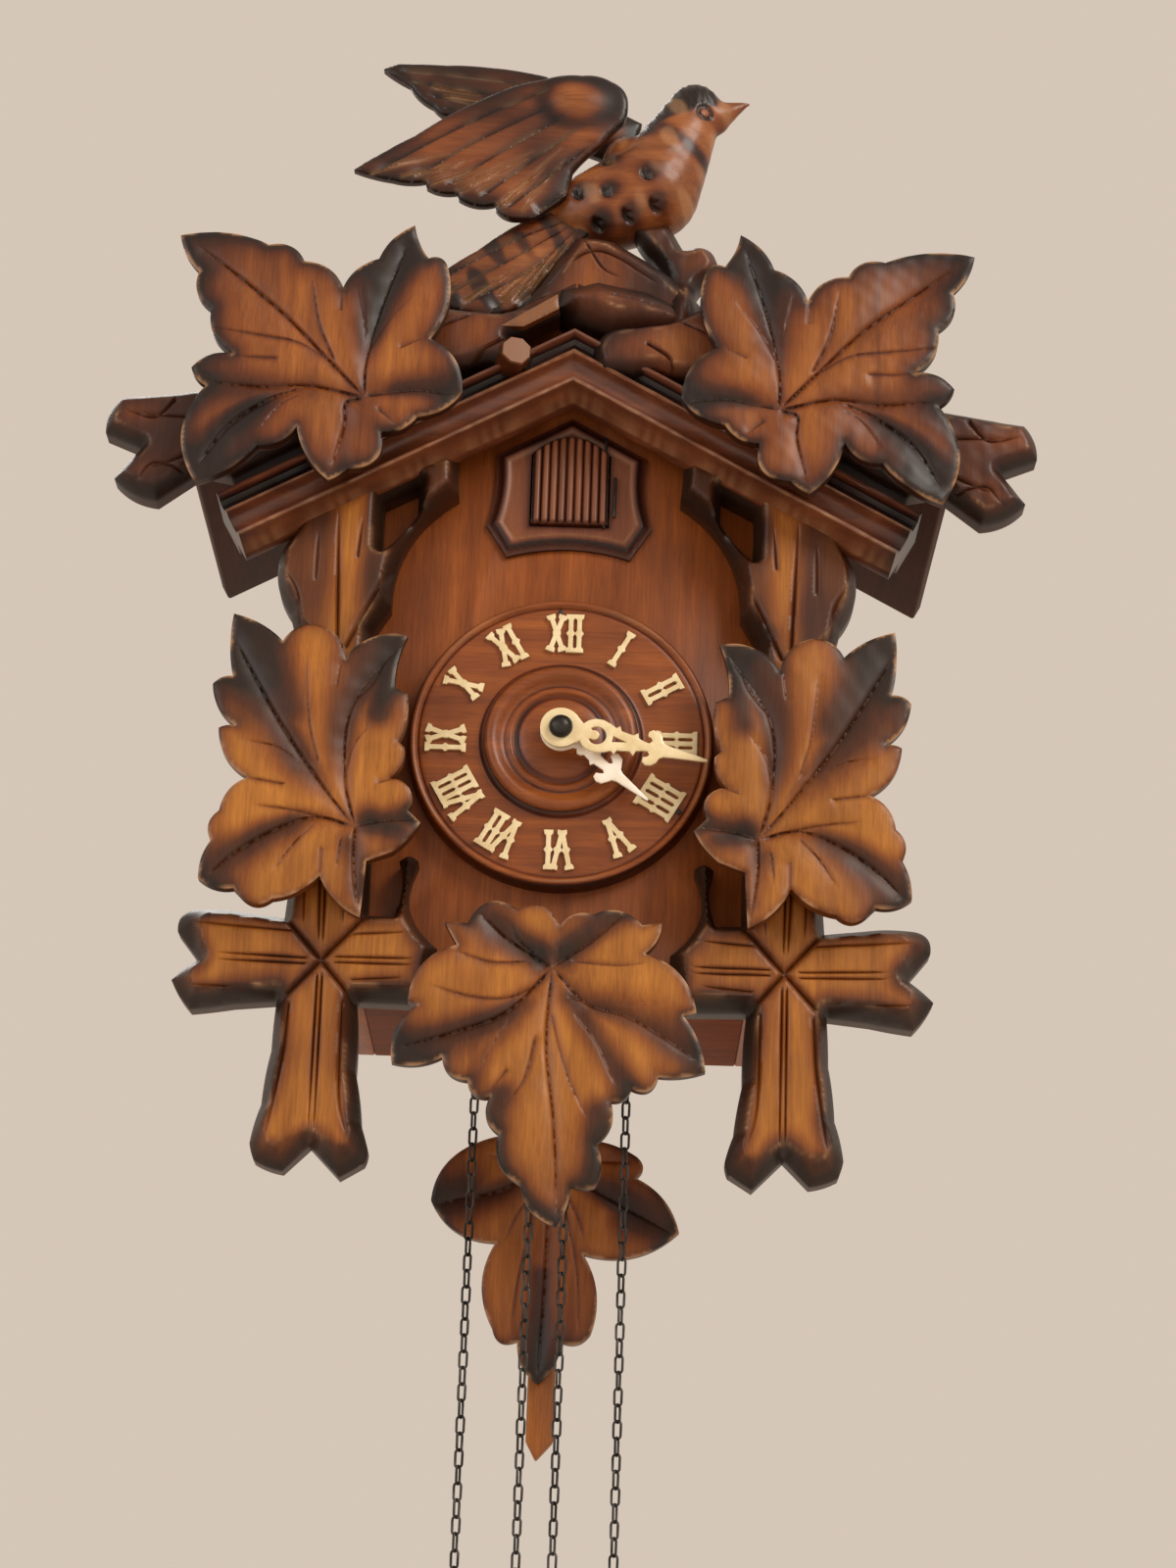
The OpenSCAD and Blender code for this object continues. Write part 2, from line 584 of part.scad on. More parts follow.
rod_t = 5;
rod_top = -104;
rod_low = -211;
module pendulum_leader() color("silver") placed() slab(pendulum_y - lead_w / 2, lead_w) difference() {
    union() {
        translate([0, pivot_z]) circle(r = lead_eye_r);
        translate([-lead_w / 2, rod_top]) square([lead_w, pivot_z - rod_top]);
    }
    translate([0, pivot_z]) circle(r = pin_r);
}
ROD = [[-rod_half, rod_top, 0], [rod_half, rod_top, 0], [rod_half, rod_low, 0], [-1, rod_low - 6, 0],
    [-rod_half, rod_low, 0]];
module pendulum_rod() color("peru") placed() slab(pendulum_y - rod_t / 2, rod_t) carved(ROD);
module pendulum_leaf() color("sienna") placed() slab(pendulum_y + rod_t / 2, 7) carved(LEAF_BOB);

gong_at = [-18, -20];
gong_block_r = 6;
gong_block_y = 16;
gong_t = 2.4;
gong_wire_r = 0.9;
gong_hub_r = 3;
module gong_block() color("peru") placed()
    pin_y(gong_block_r, door_in + door_t, gong_block_y, gong_at[0], gong_at[1]);
module gong_coil() color("silver") placed()
    translate([gong_at[0], -gong_block_y - gong_t / 2, gong_at[1]]) rotate([90, 0, 0]) {
        for (r = [11 : 3.5 : 21.5]) rotate_extrude($fn = 96)
            translate([r, 0]) circle(r = gong_wire_r, $fn = 24);
        translate([-22, -1, -gong_t / 2]) cube([22, 2, gong_t]);
        translate([0, 0, -gong_t / 2]) cylinder(r = gong_hub_r, h = gong_t);
    }
hammer_head = [8.5, -20];
hammer_y = 16.4;
hammer_t = 1.6;
module gong_hammer() color("silver") placed() {
    pin_y(pin_r, gong_block_y, front_plate_y + plate_t + arbor_end, hammer_pivot[0], hammer_pivot[1]);
    slab(hammer_y, hammer_t) {
        translate(hammer_pivot) circle(r = 2.5);
        polygon([hammer_pivot - [1.4, 0], hammer_pivot + [1.4, 0], hammer_head + [1.1, 1],
            hammer_head - [1.5, -1]]);
    }
    pin_y(3, hammer_y - 1.6, hammer_y + 3.2, hammer_head[0], hammer_head[1]);
}

// ---- Whistles and bellows ----
whistle_x0 = 40.5;
whistle_y0 = 30;
whistle_y1 = 78;
whistle_low = -60;
whistle_top = 30;
whistle_wall = 2;
mouth_z = [8, 14];
cloth_h = 13.5;
lid_t = 3;
module whistle_boxes() color("burlywood") placed() for (flip = [false, true]) mirror_x(flip) difference() {
    box_from([whistle_x0, -whistle_y1, whistle_low], [inner_w, -whistle_y0, whistle_top]);
    box_from([whistle_x0 + whistle_wall, -whistle_y1 + whistle_wall, whistle_low + whistle_wall],
        [inner_w - whistle_wall, -whistle_y0 - whistle_wall, whistle_top - whistle_wall - 1]);
    box_from([whistle_x0 - 1, -whistle_y1 + 12, mouth_z[0]], [whistle_x0 + 3, -whistle_y0 - 12, mouth_z[1]]);
}
module bellows_cloths() color("linen") placed() for (flip = [false, true]) mirror_x(flip)
    box_from([whistle_x0 + 1, -whistle_y1 + 1, whistle_top],
        [inner_w - 1, -whistle_y0 - 1, whistle_top + cloth_h]);
module bellows_lid(flip) color("burlywood") placed() mirror_x(flip)
    box_from([whistle_x0, -whistle_y1, whistle_top + cloth_h],
        [inner_w - 0.4, -whistle_y0, whistle_top + cloth_h + lid_t]);
module bellows_lid_left() bellows_lid(true);
module bellows_lid_right() bellows_lid(false);

// ---- Chains and weights ----
chain_end_z = -258;
ring_pts = 8;
function ring_at(p, r) = [for (i = [0 : ring_pts - 1])
    [p[0] + r * cos(360 * i / ring_pts), p[1] + r * sin(360 * i / ring_pts), p[2]]];
function sweep_faces(n) = concat([[for (i = [0 : ring_pts - 1]) i]],
    [for (j = [0 : n - 2]) for (i = [0 : ring_pts - 1])
        [j * ring_pts + i, (j + 1) * ring_pts + i, (j + 1) * ring_pts + (i + 1) % ring_pts,
            j * ring_pts + (i + 1) % ring_pts]],
    [[for (i = [ring_pts - 1 : -1 : 0]) (n - 1) * ring_pts + i]]);
// Heights of a hanging strand, from its sprocket down to its end
strand_step = 14;
STRAND_Z = concat([for (z = [great_z : -strand_step : chain_end_z + 1]) z], [chain_end_z]);
module strand(x) color("dimgray") placed() polyhedron(
    points = [for (z = STRAND_Z) for (p = ring_at([x, -chain_y, z], chain_d / 2)) p],
    faces = sweep_faces(len(STRAND_Z)));
module chain_time_load() strand(strands[0]);
module chain_time_free() strand(strands[1]);
module chain_strike_free() strand(strands[2]);
module chain_strike_load() strand(strands[3]);

ring_wire_r = 0.7;
ring_large = 3.8;
ring_small = 2.6;
module ring(x, z, r) translate([x, -chain_y, z]) rotate([90, 0, 0])
    rotate_extrude() translate([r, 0]) circle(r = ring_wire_r, $fn = 24);
module chain_end_fittings() color("dimgray") placed() {
    for (x = [strands[1], strands[2]]) ring(x, chain_end_z - ring_large - ring_wire_r, ring_large);
    for (x = [strands[0], strands[3]]) ring(x, chain_end_z - ring_small - ring_wire_r, ring_small);
}
weight_top = -272.5;
weight_r = 16.5;
weight_h = 92;
module weight(x) color("saddlebrown") placed() {
    ring(x, weight_top + 1.8, ring_small);
    translate([x, -chain_y, weight_top - weight_h]) rotate_extrude()
        polygon([[0, 0], [4, 3], [9, 14], [14, 36], [weight_r, 56], [15.5, 72], [11, 84], [5, 91],
            [0, weight_h]]);
}
module weight_time() weight(strands[0]);
module weight_strike() weight(strands[3]);

case_side_left();
case_side_right();
case_floor();
back_gable_board();
back_bottom_rail();
back_door();
back_hinge_pins();
front_board();
roof_board_left();
roof_board_right();
fascia_left();
fascia_right();
escutcheon();
dial();
dial_numerals();
dial_nails();
frame_left();
frame_right();
leaf_left();
leaf_right();
leaf_bottom();
leaf_top_left();
leaf_top_right();
roof_branch();
top_bird();
cuckoo_door();
cuckoo_door_wire();
cuckoo();
cuckoo_bar();
cuckoo_guide();
front_plate();
back_plate();
plate_pillars();
centre_arbor();
minute_hand();
hand_nut();
hour_wheel();
hour_hand();
motion_wheel();
time_wheel();
strike_wheel();
escape_wheel();
anchor();
pendulum_leader();
pendulum_rod();
pendulum_leaf();
gong_block();
gong_coil();
gong_hammer();
whistle_boxes();
bellows_cloths();
bellows_lid_left();
bellows_lid_right();
chain_time_load();
chain_time_free();
chain_strike_free();
chain_strike_load();
chain_end_fittings();
weight_time();
weight_strike();
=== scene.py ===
import math

import bmesh
import bpy
import numpy as np
from mathutils import Matrix, Vector
from mathutils.geometry import delaunay_2d_cdt


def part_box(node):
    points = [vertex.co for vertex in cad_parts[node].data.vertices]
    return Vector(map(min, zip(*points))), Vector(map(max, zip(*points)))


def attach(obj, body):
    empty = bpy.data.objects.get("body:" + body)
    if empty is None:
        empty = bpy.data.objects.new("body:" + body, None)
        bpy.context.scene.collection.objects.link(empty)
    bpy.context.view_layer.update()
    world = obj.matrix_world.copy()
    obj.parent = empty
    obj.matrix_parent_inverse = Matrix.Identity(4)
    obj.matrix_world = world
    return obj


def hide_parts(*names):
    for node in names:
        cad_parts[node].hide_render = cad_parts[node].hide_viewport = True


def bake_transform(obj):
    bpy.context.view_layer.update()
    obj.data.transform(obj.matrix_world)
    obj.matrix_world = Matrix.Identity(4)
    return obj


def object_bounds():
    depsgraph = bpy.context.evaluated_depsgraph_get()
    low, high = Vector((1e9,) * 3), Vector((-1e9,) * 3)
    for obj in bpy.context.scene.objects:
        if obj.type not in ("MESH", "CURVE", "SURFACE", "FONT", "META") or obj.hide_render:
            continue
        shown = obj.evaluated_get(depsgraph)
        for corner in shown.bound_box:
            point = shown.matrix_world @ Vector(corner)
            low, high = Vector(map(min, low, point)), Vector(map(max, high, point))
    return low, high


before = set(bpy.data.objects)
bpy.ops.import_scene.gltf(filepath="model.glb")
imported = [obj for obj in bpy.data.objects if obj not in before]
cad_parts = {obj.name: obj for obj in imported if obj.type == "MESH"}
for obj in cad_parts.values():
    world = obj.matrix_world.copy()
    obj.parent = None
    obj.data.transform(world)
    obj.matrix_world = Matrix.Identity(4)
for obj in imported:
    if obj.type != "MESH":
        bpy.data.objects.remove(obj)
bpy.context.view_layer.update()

# ---- Frame of the design: millimetres, x right, z up from the dial's centre, depth from the wall ----
MM = 0.001


def level(node, axis, side):
    """One face of a CAD node's box in millimetres: side 0 is the low one."""
    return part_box(node)[side][axis] / MM


DIAL_Z = (level("dial", 2, 0) + level("dial", 2, 1)) / 2
BOARD_FRONT = -level("front_board", 1, 0)
DIAL_R = (level("dial", 0, 1) - level("dial", 0, 0)) / 2
ROOF_SLOPE = math.radians(29)


def axis_of(node):
    """The x and the depth of a node's middle."""
    low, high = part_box(node)
    return (low.x + high.x) / 2 / MM, -(low.y + high.y) / 2 / MM


def heights(node):
    """The lowest and highest z of a node, from the dial's centre."""
    return level(node, 2, 0) - DIAL_Z, level(node, 2, 1) - DIAL_Z


def back_and_thickness(node):
    """The depth of a node's back, and how far it reaches forward from there."""
    return -level(node, 1, 1), level(node, 1, 1) - level(node, 1, 0)


def at(x, depth, z):
    """A point of the design as a vector in metres in the CAD's frame."""
    return Vector((x * MM, -depth * MM, (z + DIAL_Z) * MM))


# ---- Small mathematics ----
def smooth(t):
    t = np.clip(t, 0, 1)
    return t * t * (3 - 2 * t)


def wobble(p, size, seed=0):
    """Smooth noise over points p, mostly from -1 to 1, with features of about that size in millimetres."""
    rng = np.random.default_rng(seed)
    total = np.zeros(len(p))
    for _ in range(6):
        turn, phase = rng.uniform(0, 2 * math.pi, 2)
        scale = 2 * math.pi / (size * rng.uniform(1.2, 3))
        total += np.sin((p[:, 0] * math.cos(turn) + p[:, 1] * math.sin(turn)) * scale + phase)
    return total / 3.2


def segment_distance(p, a, b):
    """Distance of each point to the segment a-b, with the share of the way along it."""
    d = b - a
    t = np.clip(((p - a) @ d) / max(d @ d, 1e-9), 0, 1)
    return np.linalg.norm(p - (a + t[:, None] * d), axis=1), t


def line_distance(p, line):
    """Distance of each point to a polyline, the share of the way along it, and its side (1 is the left)."""
    line = np.asarray(curved(line) if len(line) > 2 else line, float)
    best, along, side = np.full(len(p), 1e9), np.zeros(len(p)), np.ones(len(p))
    lengths = np.linalg.norm(np.diff(line, axis=0), axis=1)
    total, run = lengths.sum(), 0
    for i, length in enumerate(lengths):
        a, b = line[i], line[i + 1]
        d, t = segment_distance(p, a, b)
        near = d < best
        best[near], along[near] = d[near], (run + t[near] * length) / total
        turn = (b[0] - a[0]) * (p[:, 1] - a[1]) - (b[1] - a[1]) * (p[:, 0] - a[0])
        side[near] = np.sign(turn[near])
        run += length
    return best, along, side


def rounded(points, step=0.9):
    """Closed outline through points [x, z, bulge], each edge an arc that bulges out by that share."""
    out = []
    for i, (x, z, bulge) in enumerate(points):
        x2, z2 = points[(i + 1) % len(points)][:2]
        length = math.hypot(x2 - x, z2 - z)
        n = max(1, round(length * (1 + abs(bulge)) / step))
        for j in range(n):
            t = j / n
            w = 4 * bulge * t * (1 - t)
            out.append((x + (x2 - x) * t - (z2 - z) * w, z + (z2 - z) * t + (x2 - x) * w))
    return np.array(out)


def curved(line, n=10):
    """A smooth open curve through the points of a line (Catmull-Rom)."""
    q = [np.array(p, float) for p in line]
    q = [2 * q[0] - q[1]] + q + [2 * q[-1] - q[-2]]
    out = []
    for i in range(1, len(q) - 2):
        for t in np.arange(n) / n:
            a, b, c, d = q[i - 1], q[i], q[i + 1], q[i + 2]
            out.append(0.5 * (2 * b + (c - a) * t + (2 * a - 5 * b + 4 * c - d) * t * t
                              + (3 * b - a - 3 * c + d) * t ** 3))
    return np.array(out + [q[-2]])


def inside(p, ring):
    """Which points lie inside a closed ring."""
    hit = np.zeros(len(p), bool)
    for (x1, z1), (x2, z2) in zip(ring, np.roll(ring, -1, axis=0)):
        if z1 != z2:
            cross = (z1 > p[:, 1]) != (z2 > p[:, 1])
            hit ^= cross & (p[:, 0] < (x2 - x1) * (p[:, 1] - z1) / (z2 - z1) + x1)
    return hit


# ---- Objects ----
def link_object(name, data):
    obj = bpy.data.objects.new(name, data)
    bpy.context.collection.objects.link(obj)
    return obj


def set_shades(mesh, shades):
    """Store the burn, with any painted shade, and the wear of each point, which the wood materials read."""
    for key, values in shades.items():
        mesh.attributes.new(key, "FLOAT", "POINT").data.foreach_set("value", np.asarray(values, np.float32))


def split_edges(obj, angle):
    obj.modifiers.new("edges", "EDGE_SPLIT").split_angle = math.radians(angle)


def tube_faces(rows, n):
    """Faces of a closed tube of rows of n points each, with a cap at both ends."""
    faces = []
    for i in range(rows - 1):
        for k in range(n):
            a, b = i * n + k, i * n + (k + 1) % n
            faces.append((a, b, b + n, a + n))
    return faces + [tuple(range(n)), tuple(range((rows - 1) * n, rows * n))]


def loop_faces(around, sides, start=0):
    """Faces of a closed wire loop, made of rings of points round its centreline."""
    faces = []
    for k in range(around):
        this, following = start + k * sides, start + (k + 1) % around * sides
        for j in range(sides):
            faces.append((this + j, this + (j + 1) % sides, following + (j + 1) % sides, following + j))
    return faces


def new_object(name, verts, faces, material, body, replaced=(), smoothed=True, shades=None):
    mesh = bpy.data.meshes.new(name)
    mesh.from_pydata([tuple(v) for v in verts], [], [tuple(f) for f in faces])
    mesh.validate()
    bm = bmesh.new()
    bm.from_mesh(mesh)
    bmesh.ops.recalc_face_normals(bm, faces=bm.faces)
    bm.to_mesh(mesh)
    bm.free()
    set_shades(mesh, shades or {})
    return dress(link_object(name, mesh), material, body, replaced, smoothed)


def dress(obj, material, body, replaced=(), smoothed=True):
    obj.data.materials.clear()
    obj.data.materials.append(material)
    if smoothed:
        obj.data.shade_smooth()
    if body:
        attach(obj, body)
    if replaced:
        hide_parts(*replaced)
    return obj


def softened(node, body, material, width=0.6, segments=2):
    """A piece with the CAD node's own shape and rounded edges, which stands for that node."""
    bm = bmesh.new()
    bm.from_mesh(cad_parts[node].data)
    bmesh.ops.remove_doubles(bm, verts=bm.verts, dist=0.01 * MM)
    bmesh.ops.dissolve_limit(bm, angle_limit=math.radians(1), verts=bm.verts, edges=bm.edges)
    mesh = bpy.data.meshes.new(node + "_soft")
    bm.to_mesh(mesh)
    bm.free()
    obj = dress(link_object(node + "_soft", mesh), material, body, [node])
    bevel = obj.modifiers.new("bevel", "BEVEL")
    bevel.width = width * MM
    bevel.segments = segments
    bevel.limit_method = "ANGLE"
    bevel.angle_limit = math.radians(35)
    bevel.harden_normals = True


# ---- Materials ----
def tree(name):
    material = bpy.data.materials.new(name)
    material.use_nodes = True
    nodes, links = material.node_tree.nodes, material.node_tree.links
    return material, nodes, links, nodes["Principled BSDF"]


def feed(links, socket, value):
    """Link a socket to another one, or give it a number or a colour."""
    if isinstance(value, bpy.types.NodeSocket):
        links.new(value, socket)
    else:
        socket.default_value = (*value, 1) if isinstance(value, tuple) else value


def noise(nodes, links, space, **values):
    node = nodes.new("ShaderNodeTexNoise")
    node.inputs["Scale"].default_value = 1.0
    for key, value in values.items():
        node.inputs[key].default_value = value
    links.new(space, node.inputs["Vector"])
    return node.outputs["Fac"]


def ramp(nodes, links, source, stops):
    node = nodes.new("ShaderNodeValToRGB")
    elements = node.color_ramp.elements
    while len(elements) < len(stops):
        elements.new(0.5)
    for element, (place, color) in zip(elements, stops):
        element.position = place
        element.color = (*color, 1)
    links.new(source, node.inputs["Fac"])
    return node.outputs["Color"]


def blend_colors(nodes, links, factor, first, second, mode="MIX"):
    node = nodes.new("ShaderNodeMix")
    node.data_type = "RGBA"
    node.blend_type = mode
    for place, value in ((0, factor), (6, first), (7, second)):
        feed(links, node.inputs[place], value)
    return node.outputs[2]


def arithmetic(nodes, links, operation, *values):
    node = nodes.new("ShaderNodeMath")
    node.operation = operation
    for socket, value in zip(node.inputs, values):
        feed(links, socket, value)
    return node.outputs[0]


def surface(nodes, links, shader, gloss_source, rough, relief_source, bump, depth):
    """A roughness that varies between two values, and a fine bump of that depth in millimetres."""
    gloss = nodes.new("ShaderNodeMapRange")
    gloss.inputs["To Min"].default_value, gloss.inputs["To Max"].default_value = rough
    links.new(gloss_source, gloss.inputs["Value"])
    links.new(gloss.outputs["Result"], shader.inputs["Roughness"])
    relief = nodes.new("ShaderNodeBump")
    relief.inputs["Strength"].default_value = bump
    relief.inputs["Distance"].default_value = depth * MM
    links.new(relief_source, relief.inputs["Height"])
    links.new(relief.outputs["Normal"], shader.inputs["Normal"])


def coordinates(nodes, links, *scale):
    """The object's own coordinates, multiplied by one scale or by three."""
    place = nodes.new("ShaderNodeTexCoord")
    mapping = nodes.new("ShaderNodeMapping")
    mapping.inputs["Scale"].default_value = scale * 3 if len(scale) == 1 else scale
    links.new(place.outputs["Object"], mapping.inputs["Vector"])
    return mapping.outputs["Vector"]


def attribute(nodes, name):
    node = nodes.new("ShaderNodeAttribute")
    node.attribute_name = name
    return node.outputs["Fac"]


def wood(name, dark, middle, light, darkest_burn_and_shade=None, worn=None, along="z", rough=(0.4, 0.56), coat=0.12,
         bump=0.12):
    """Stained wood: long fibres, broad clouds of colour, pores, burnt or worn places from the carving, and
    painted shade where a piece stores it with its burn.
    """
    material, nodes, links, shader = tree(name)
    stretch = {"z": (1, 1, 0.06), "x": (0.06, 1, 1), "y": (1, 0.06, 1)}[along]
    fibre_space = coordinates(nodes, links, *[1400 * share for share in stretch])
    figure_space = coordinates(nodes, links, *[150 * share for share in stretch])
    fibres = noise(nodes, links, fibre_space, Detail=6.0, Roughness=0.62)
    figure = noise(nodes, links, figure_space, Detail=4.0, Roughness=0.55, Distortion=0.6)
    clouds = noise(nodes, links, coordinates(nodes, links, 38), Detail=3.0, Roughness=0.5)
    tone = ramp(nodes, links, figure, [(0.3, dark), (0.52, middle), (0.75, light)])
    streak = ramp(nodes, links, fibres, [(0.3, (0.62, 0.58, 0.55)), (0.6, (1, 1, 1))])
    color = blend_colors(nodes, links, 0.75, tone, streak, "MULTIPLY")
    patch = ramp(nodes, links, clouds, [(0.3, (0.72, 0.68, 0.64)), (0.65, (1.08, 1.06, 1.04))])
    color = blend_colors(nodes, links, 0.8, color, patch, "MULTIPLY")
    # The burn attribute also holds painted shade, as in the moulding's upper cove, and darkens towards the
    # same darkest colour.
    if darkest_burn_and_shade:
        uneven = arithmetic(nodes, links, "MULTIPLY_ADD", clouds, 0.3, attribute(nodes, "burn_and_shade"))
        shifted = arithmetic(nodes, links, "SUBTRACT", uneven, 0.15)
        char_and_shade = ramp(nodes, links, shifted, [(0.1, (1, 1, 1)), (0.38, (0.6, 0.47, 0.4)),
                                            (0.66, (0.2, 0.13, 0.12)), (0.95, darkest_burn_and_shade)])
        color = blend_colors(nodes, links, 1.0, color, char_and_shade, "MULTIPLY")
    if worn:
        color = blend_colors(nodes, links, attribute(nodes, "wear"), color, worn)
    links.new(color, shader.inputs["Base Color"])
    surface(nodes, links, shader, figure, rough, fibres, bump, 0.4)
    shader.inputs["Coat Weight"].default_value = coat
    shader.inputs["Coat Roughness"].default_value = 0.3
    shader.inputs["Specular IOR Level"].default_value = 0.14 + 1.6 * coat
    return material


def metal(name, color, tint, rough=(0.25, 0.45), metallic=1.0, scale=900, bump=0.08):
    """Metal with fine scratches and a patchy tarnish."""
    material, nodes, links, shader = tree(name)
    drawn_out = coordinates(nodes, links, scale, scale, scale * 0.2)
    fine = noise(nodes, links, drawn_out, Detail=5.0, Roughness=0.6)
    broad = noise(nodes, links, coordinates(nodes, links, 120), Detail=4.0, Roughness=0.55)
    links.new(ramp(nodes, links, broad, [(0.35, tint), (0.65, color)]), shader.inputs["Base Color"])
    surface(nodes, links, shader, fine, rough, fine, bump, 0.3)
    shader.inputs["Metallic"].default_value = metallic
    return material


def plastic(name, color, aged, rough=(0.3, 0.45)):
    """Moulded plastic or paint, yellowed in patches."""
    material, nodes, links, shader = tree(name)
    broad = noise(nodes, links, coordinates(nodes, links, 160), Detail=4.0, Roughness=0.6)
    fine = noise(nodes, links, coordinates(nodes, links, 1500), Detail=3.0, Roughness=0.6)
    links.new(ramp(nodes, links, broad, [(0.3, aged), (0.6, color)]), shader.inputs["Base Color"])
    surface(nodes, links, shader, fine, rough, fine, 0.06, 0.2)
    shader.inputs["Subsurface Weight"].default_value = 0.08
    shader.inputs["Subsurface Radius"].default_value = (0.002, 0.0015, 0.001)
    shader.inputs["Coat Weight"].default_value = 0.2
    return material


# The darkest burn colour, which the painted shade in the moulding's upper cove also reaches.
DARKEST_BURN_AND_SHADE = (0.045, 0.04, 0.06)
PALE = (0.44, 0.23, 0.11)
GOLD = wood("carved_gold_wood", (0.29, 0.095, 0.011), (0.39, 0.142, 0.017), (0.49, 0.187, 0.024), DARKEST_BURN_AND_SHADE, PALE)
BROWN = wood("carved_brown_wood", (0.21, 0.06, 0.010), (0.31, 0.097, 0.014), (0.40, 0.136, 0.020), DARKEST_BURN_AND_SHADE,
             PALE)
CASE = wood("case_wood", (0.185, 0.043, 0.006), (0.255, 0.064, 0.008), (0.34, 0.092, 0.012),
            rough=(0.42, 0.56), coat=0.1)
CASE_ACROSS = wood("case_wood_across", (0.11, 0.026, 0.008), (0.15, 0.037, 0.011), (0.19, 0.05, 0.015),
                   along="x", rough=(0.6, 0.75), coat=0.0)
ROOF = wood("roof_wood", (0.035, 0.011, 0.005), (0.055, 0.017, 0.007), (0.085, 0.027, 0.011), along="y",
            rough=(0.6, 0.75), coat=0.02)
MOULDING = wood("moulding_wood", (0.1, 0.023, 0.006), (0.16, 0.039, 0.009), (0.22, 0.06, 0.014), DARKEST_BURN_AND_SHADE, PALE,
                along="x", coat=0.25)
DIAL_WOOD = wood("dial_wood", (0.175, 0.040, 0.006), (0.255, 0.063, 0.008), (0.35, 0.098, 0.012), DARKEST_BURN_AND_SHADE, PALE,
                 along="x", rough=(0.36, 0.5), coat=0.14)
BARE = wood("bare_wood", (0.36, 0.22, 0.11), (0.5, 0.33, 0.18), (0.62, 0.43, 0.25), rough=(0.55, 0.75),
            coat=0.0)
BRASS = metal("old_brass", (0.72, 0.5, 0.2), (0.45, 0.28, 0.1))
STEEL = metal("drawn_steel", (0.5, 0.5, 0.5), (0.32, 0.31, 0.3))
BLACK = metal("black_steel", (0.085, 0.08, 0.075), (0.03, 0.027, 0.024), rough=(0.3, 0.55), metallic=0.9)
IRON = metal("cast_iron_brown", (0.12, 0.055, 0.03), (0.05, 0.022, 0.014), rough=(0.4, 0.65), metallic=0.35,
             scale=500, bump=0.3)
IVORY = plastic("ivory_plastic", (0.80, 0.66, 0.40), (0.66, 0.5, 0.25))
IVORY_PALE = plastic("ivory_plastic_pale", (0.86, 0.78, 0.66), (0.74, 0.62, 0.46))
BIRD_PAINT = plastic("bird_paint", (0.62, 0.45, 0.28), (0.4, 0.26, 0.15), rough=(0.4, 0.6))
CLOTH = wood("bellows_leather", (0.5, 0.42, 0.3), (0.62, 0.54, 0.4), (0.7, 0.62, 0.48), rough=(0.7, 0.85),
             coat=0.0, bump=0.3)


# ---- Carving ----
LINE_CLEARANCE = 1.2


def detail_points(lines, offsets=(-0.9, -0.4, 0, 0.4, 0.9), step=0.8):
    """Rows of points beside the cut lines, so that the mesh can hold a crisp groove."""
    out = []
    for line in lines:
        route = np.asarray(curved(line) if len(line) > 2 else line, float)
        for a, b in zip(route, route[1:]):
            d = b - a
            length = max(np.linalg.norm(d), 1e-6)
            normal = np.array([-d[1], d[0]]) / length
            for t in np.arange(0, 1, min(1, step / length)):
                out += [a + d * t + normal * k for k in offsets]
    return np.array(out)


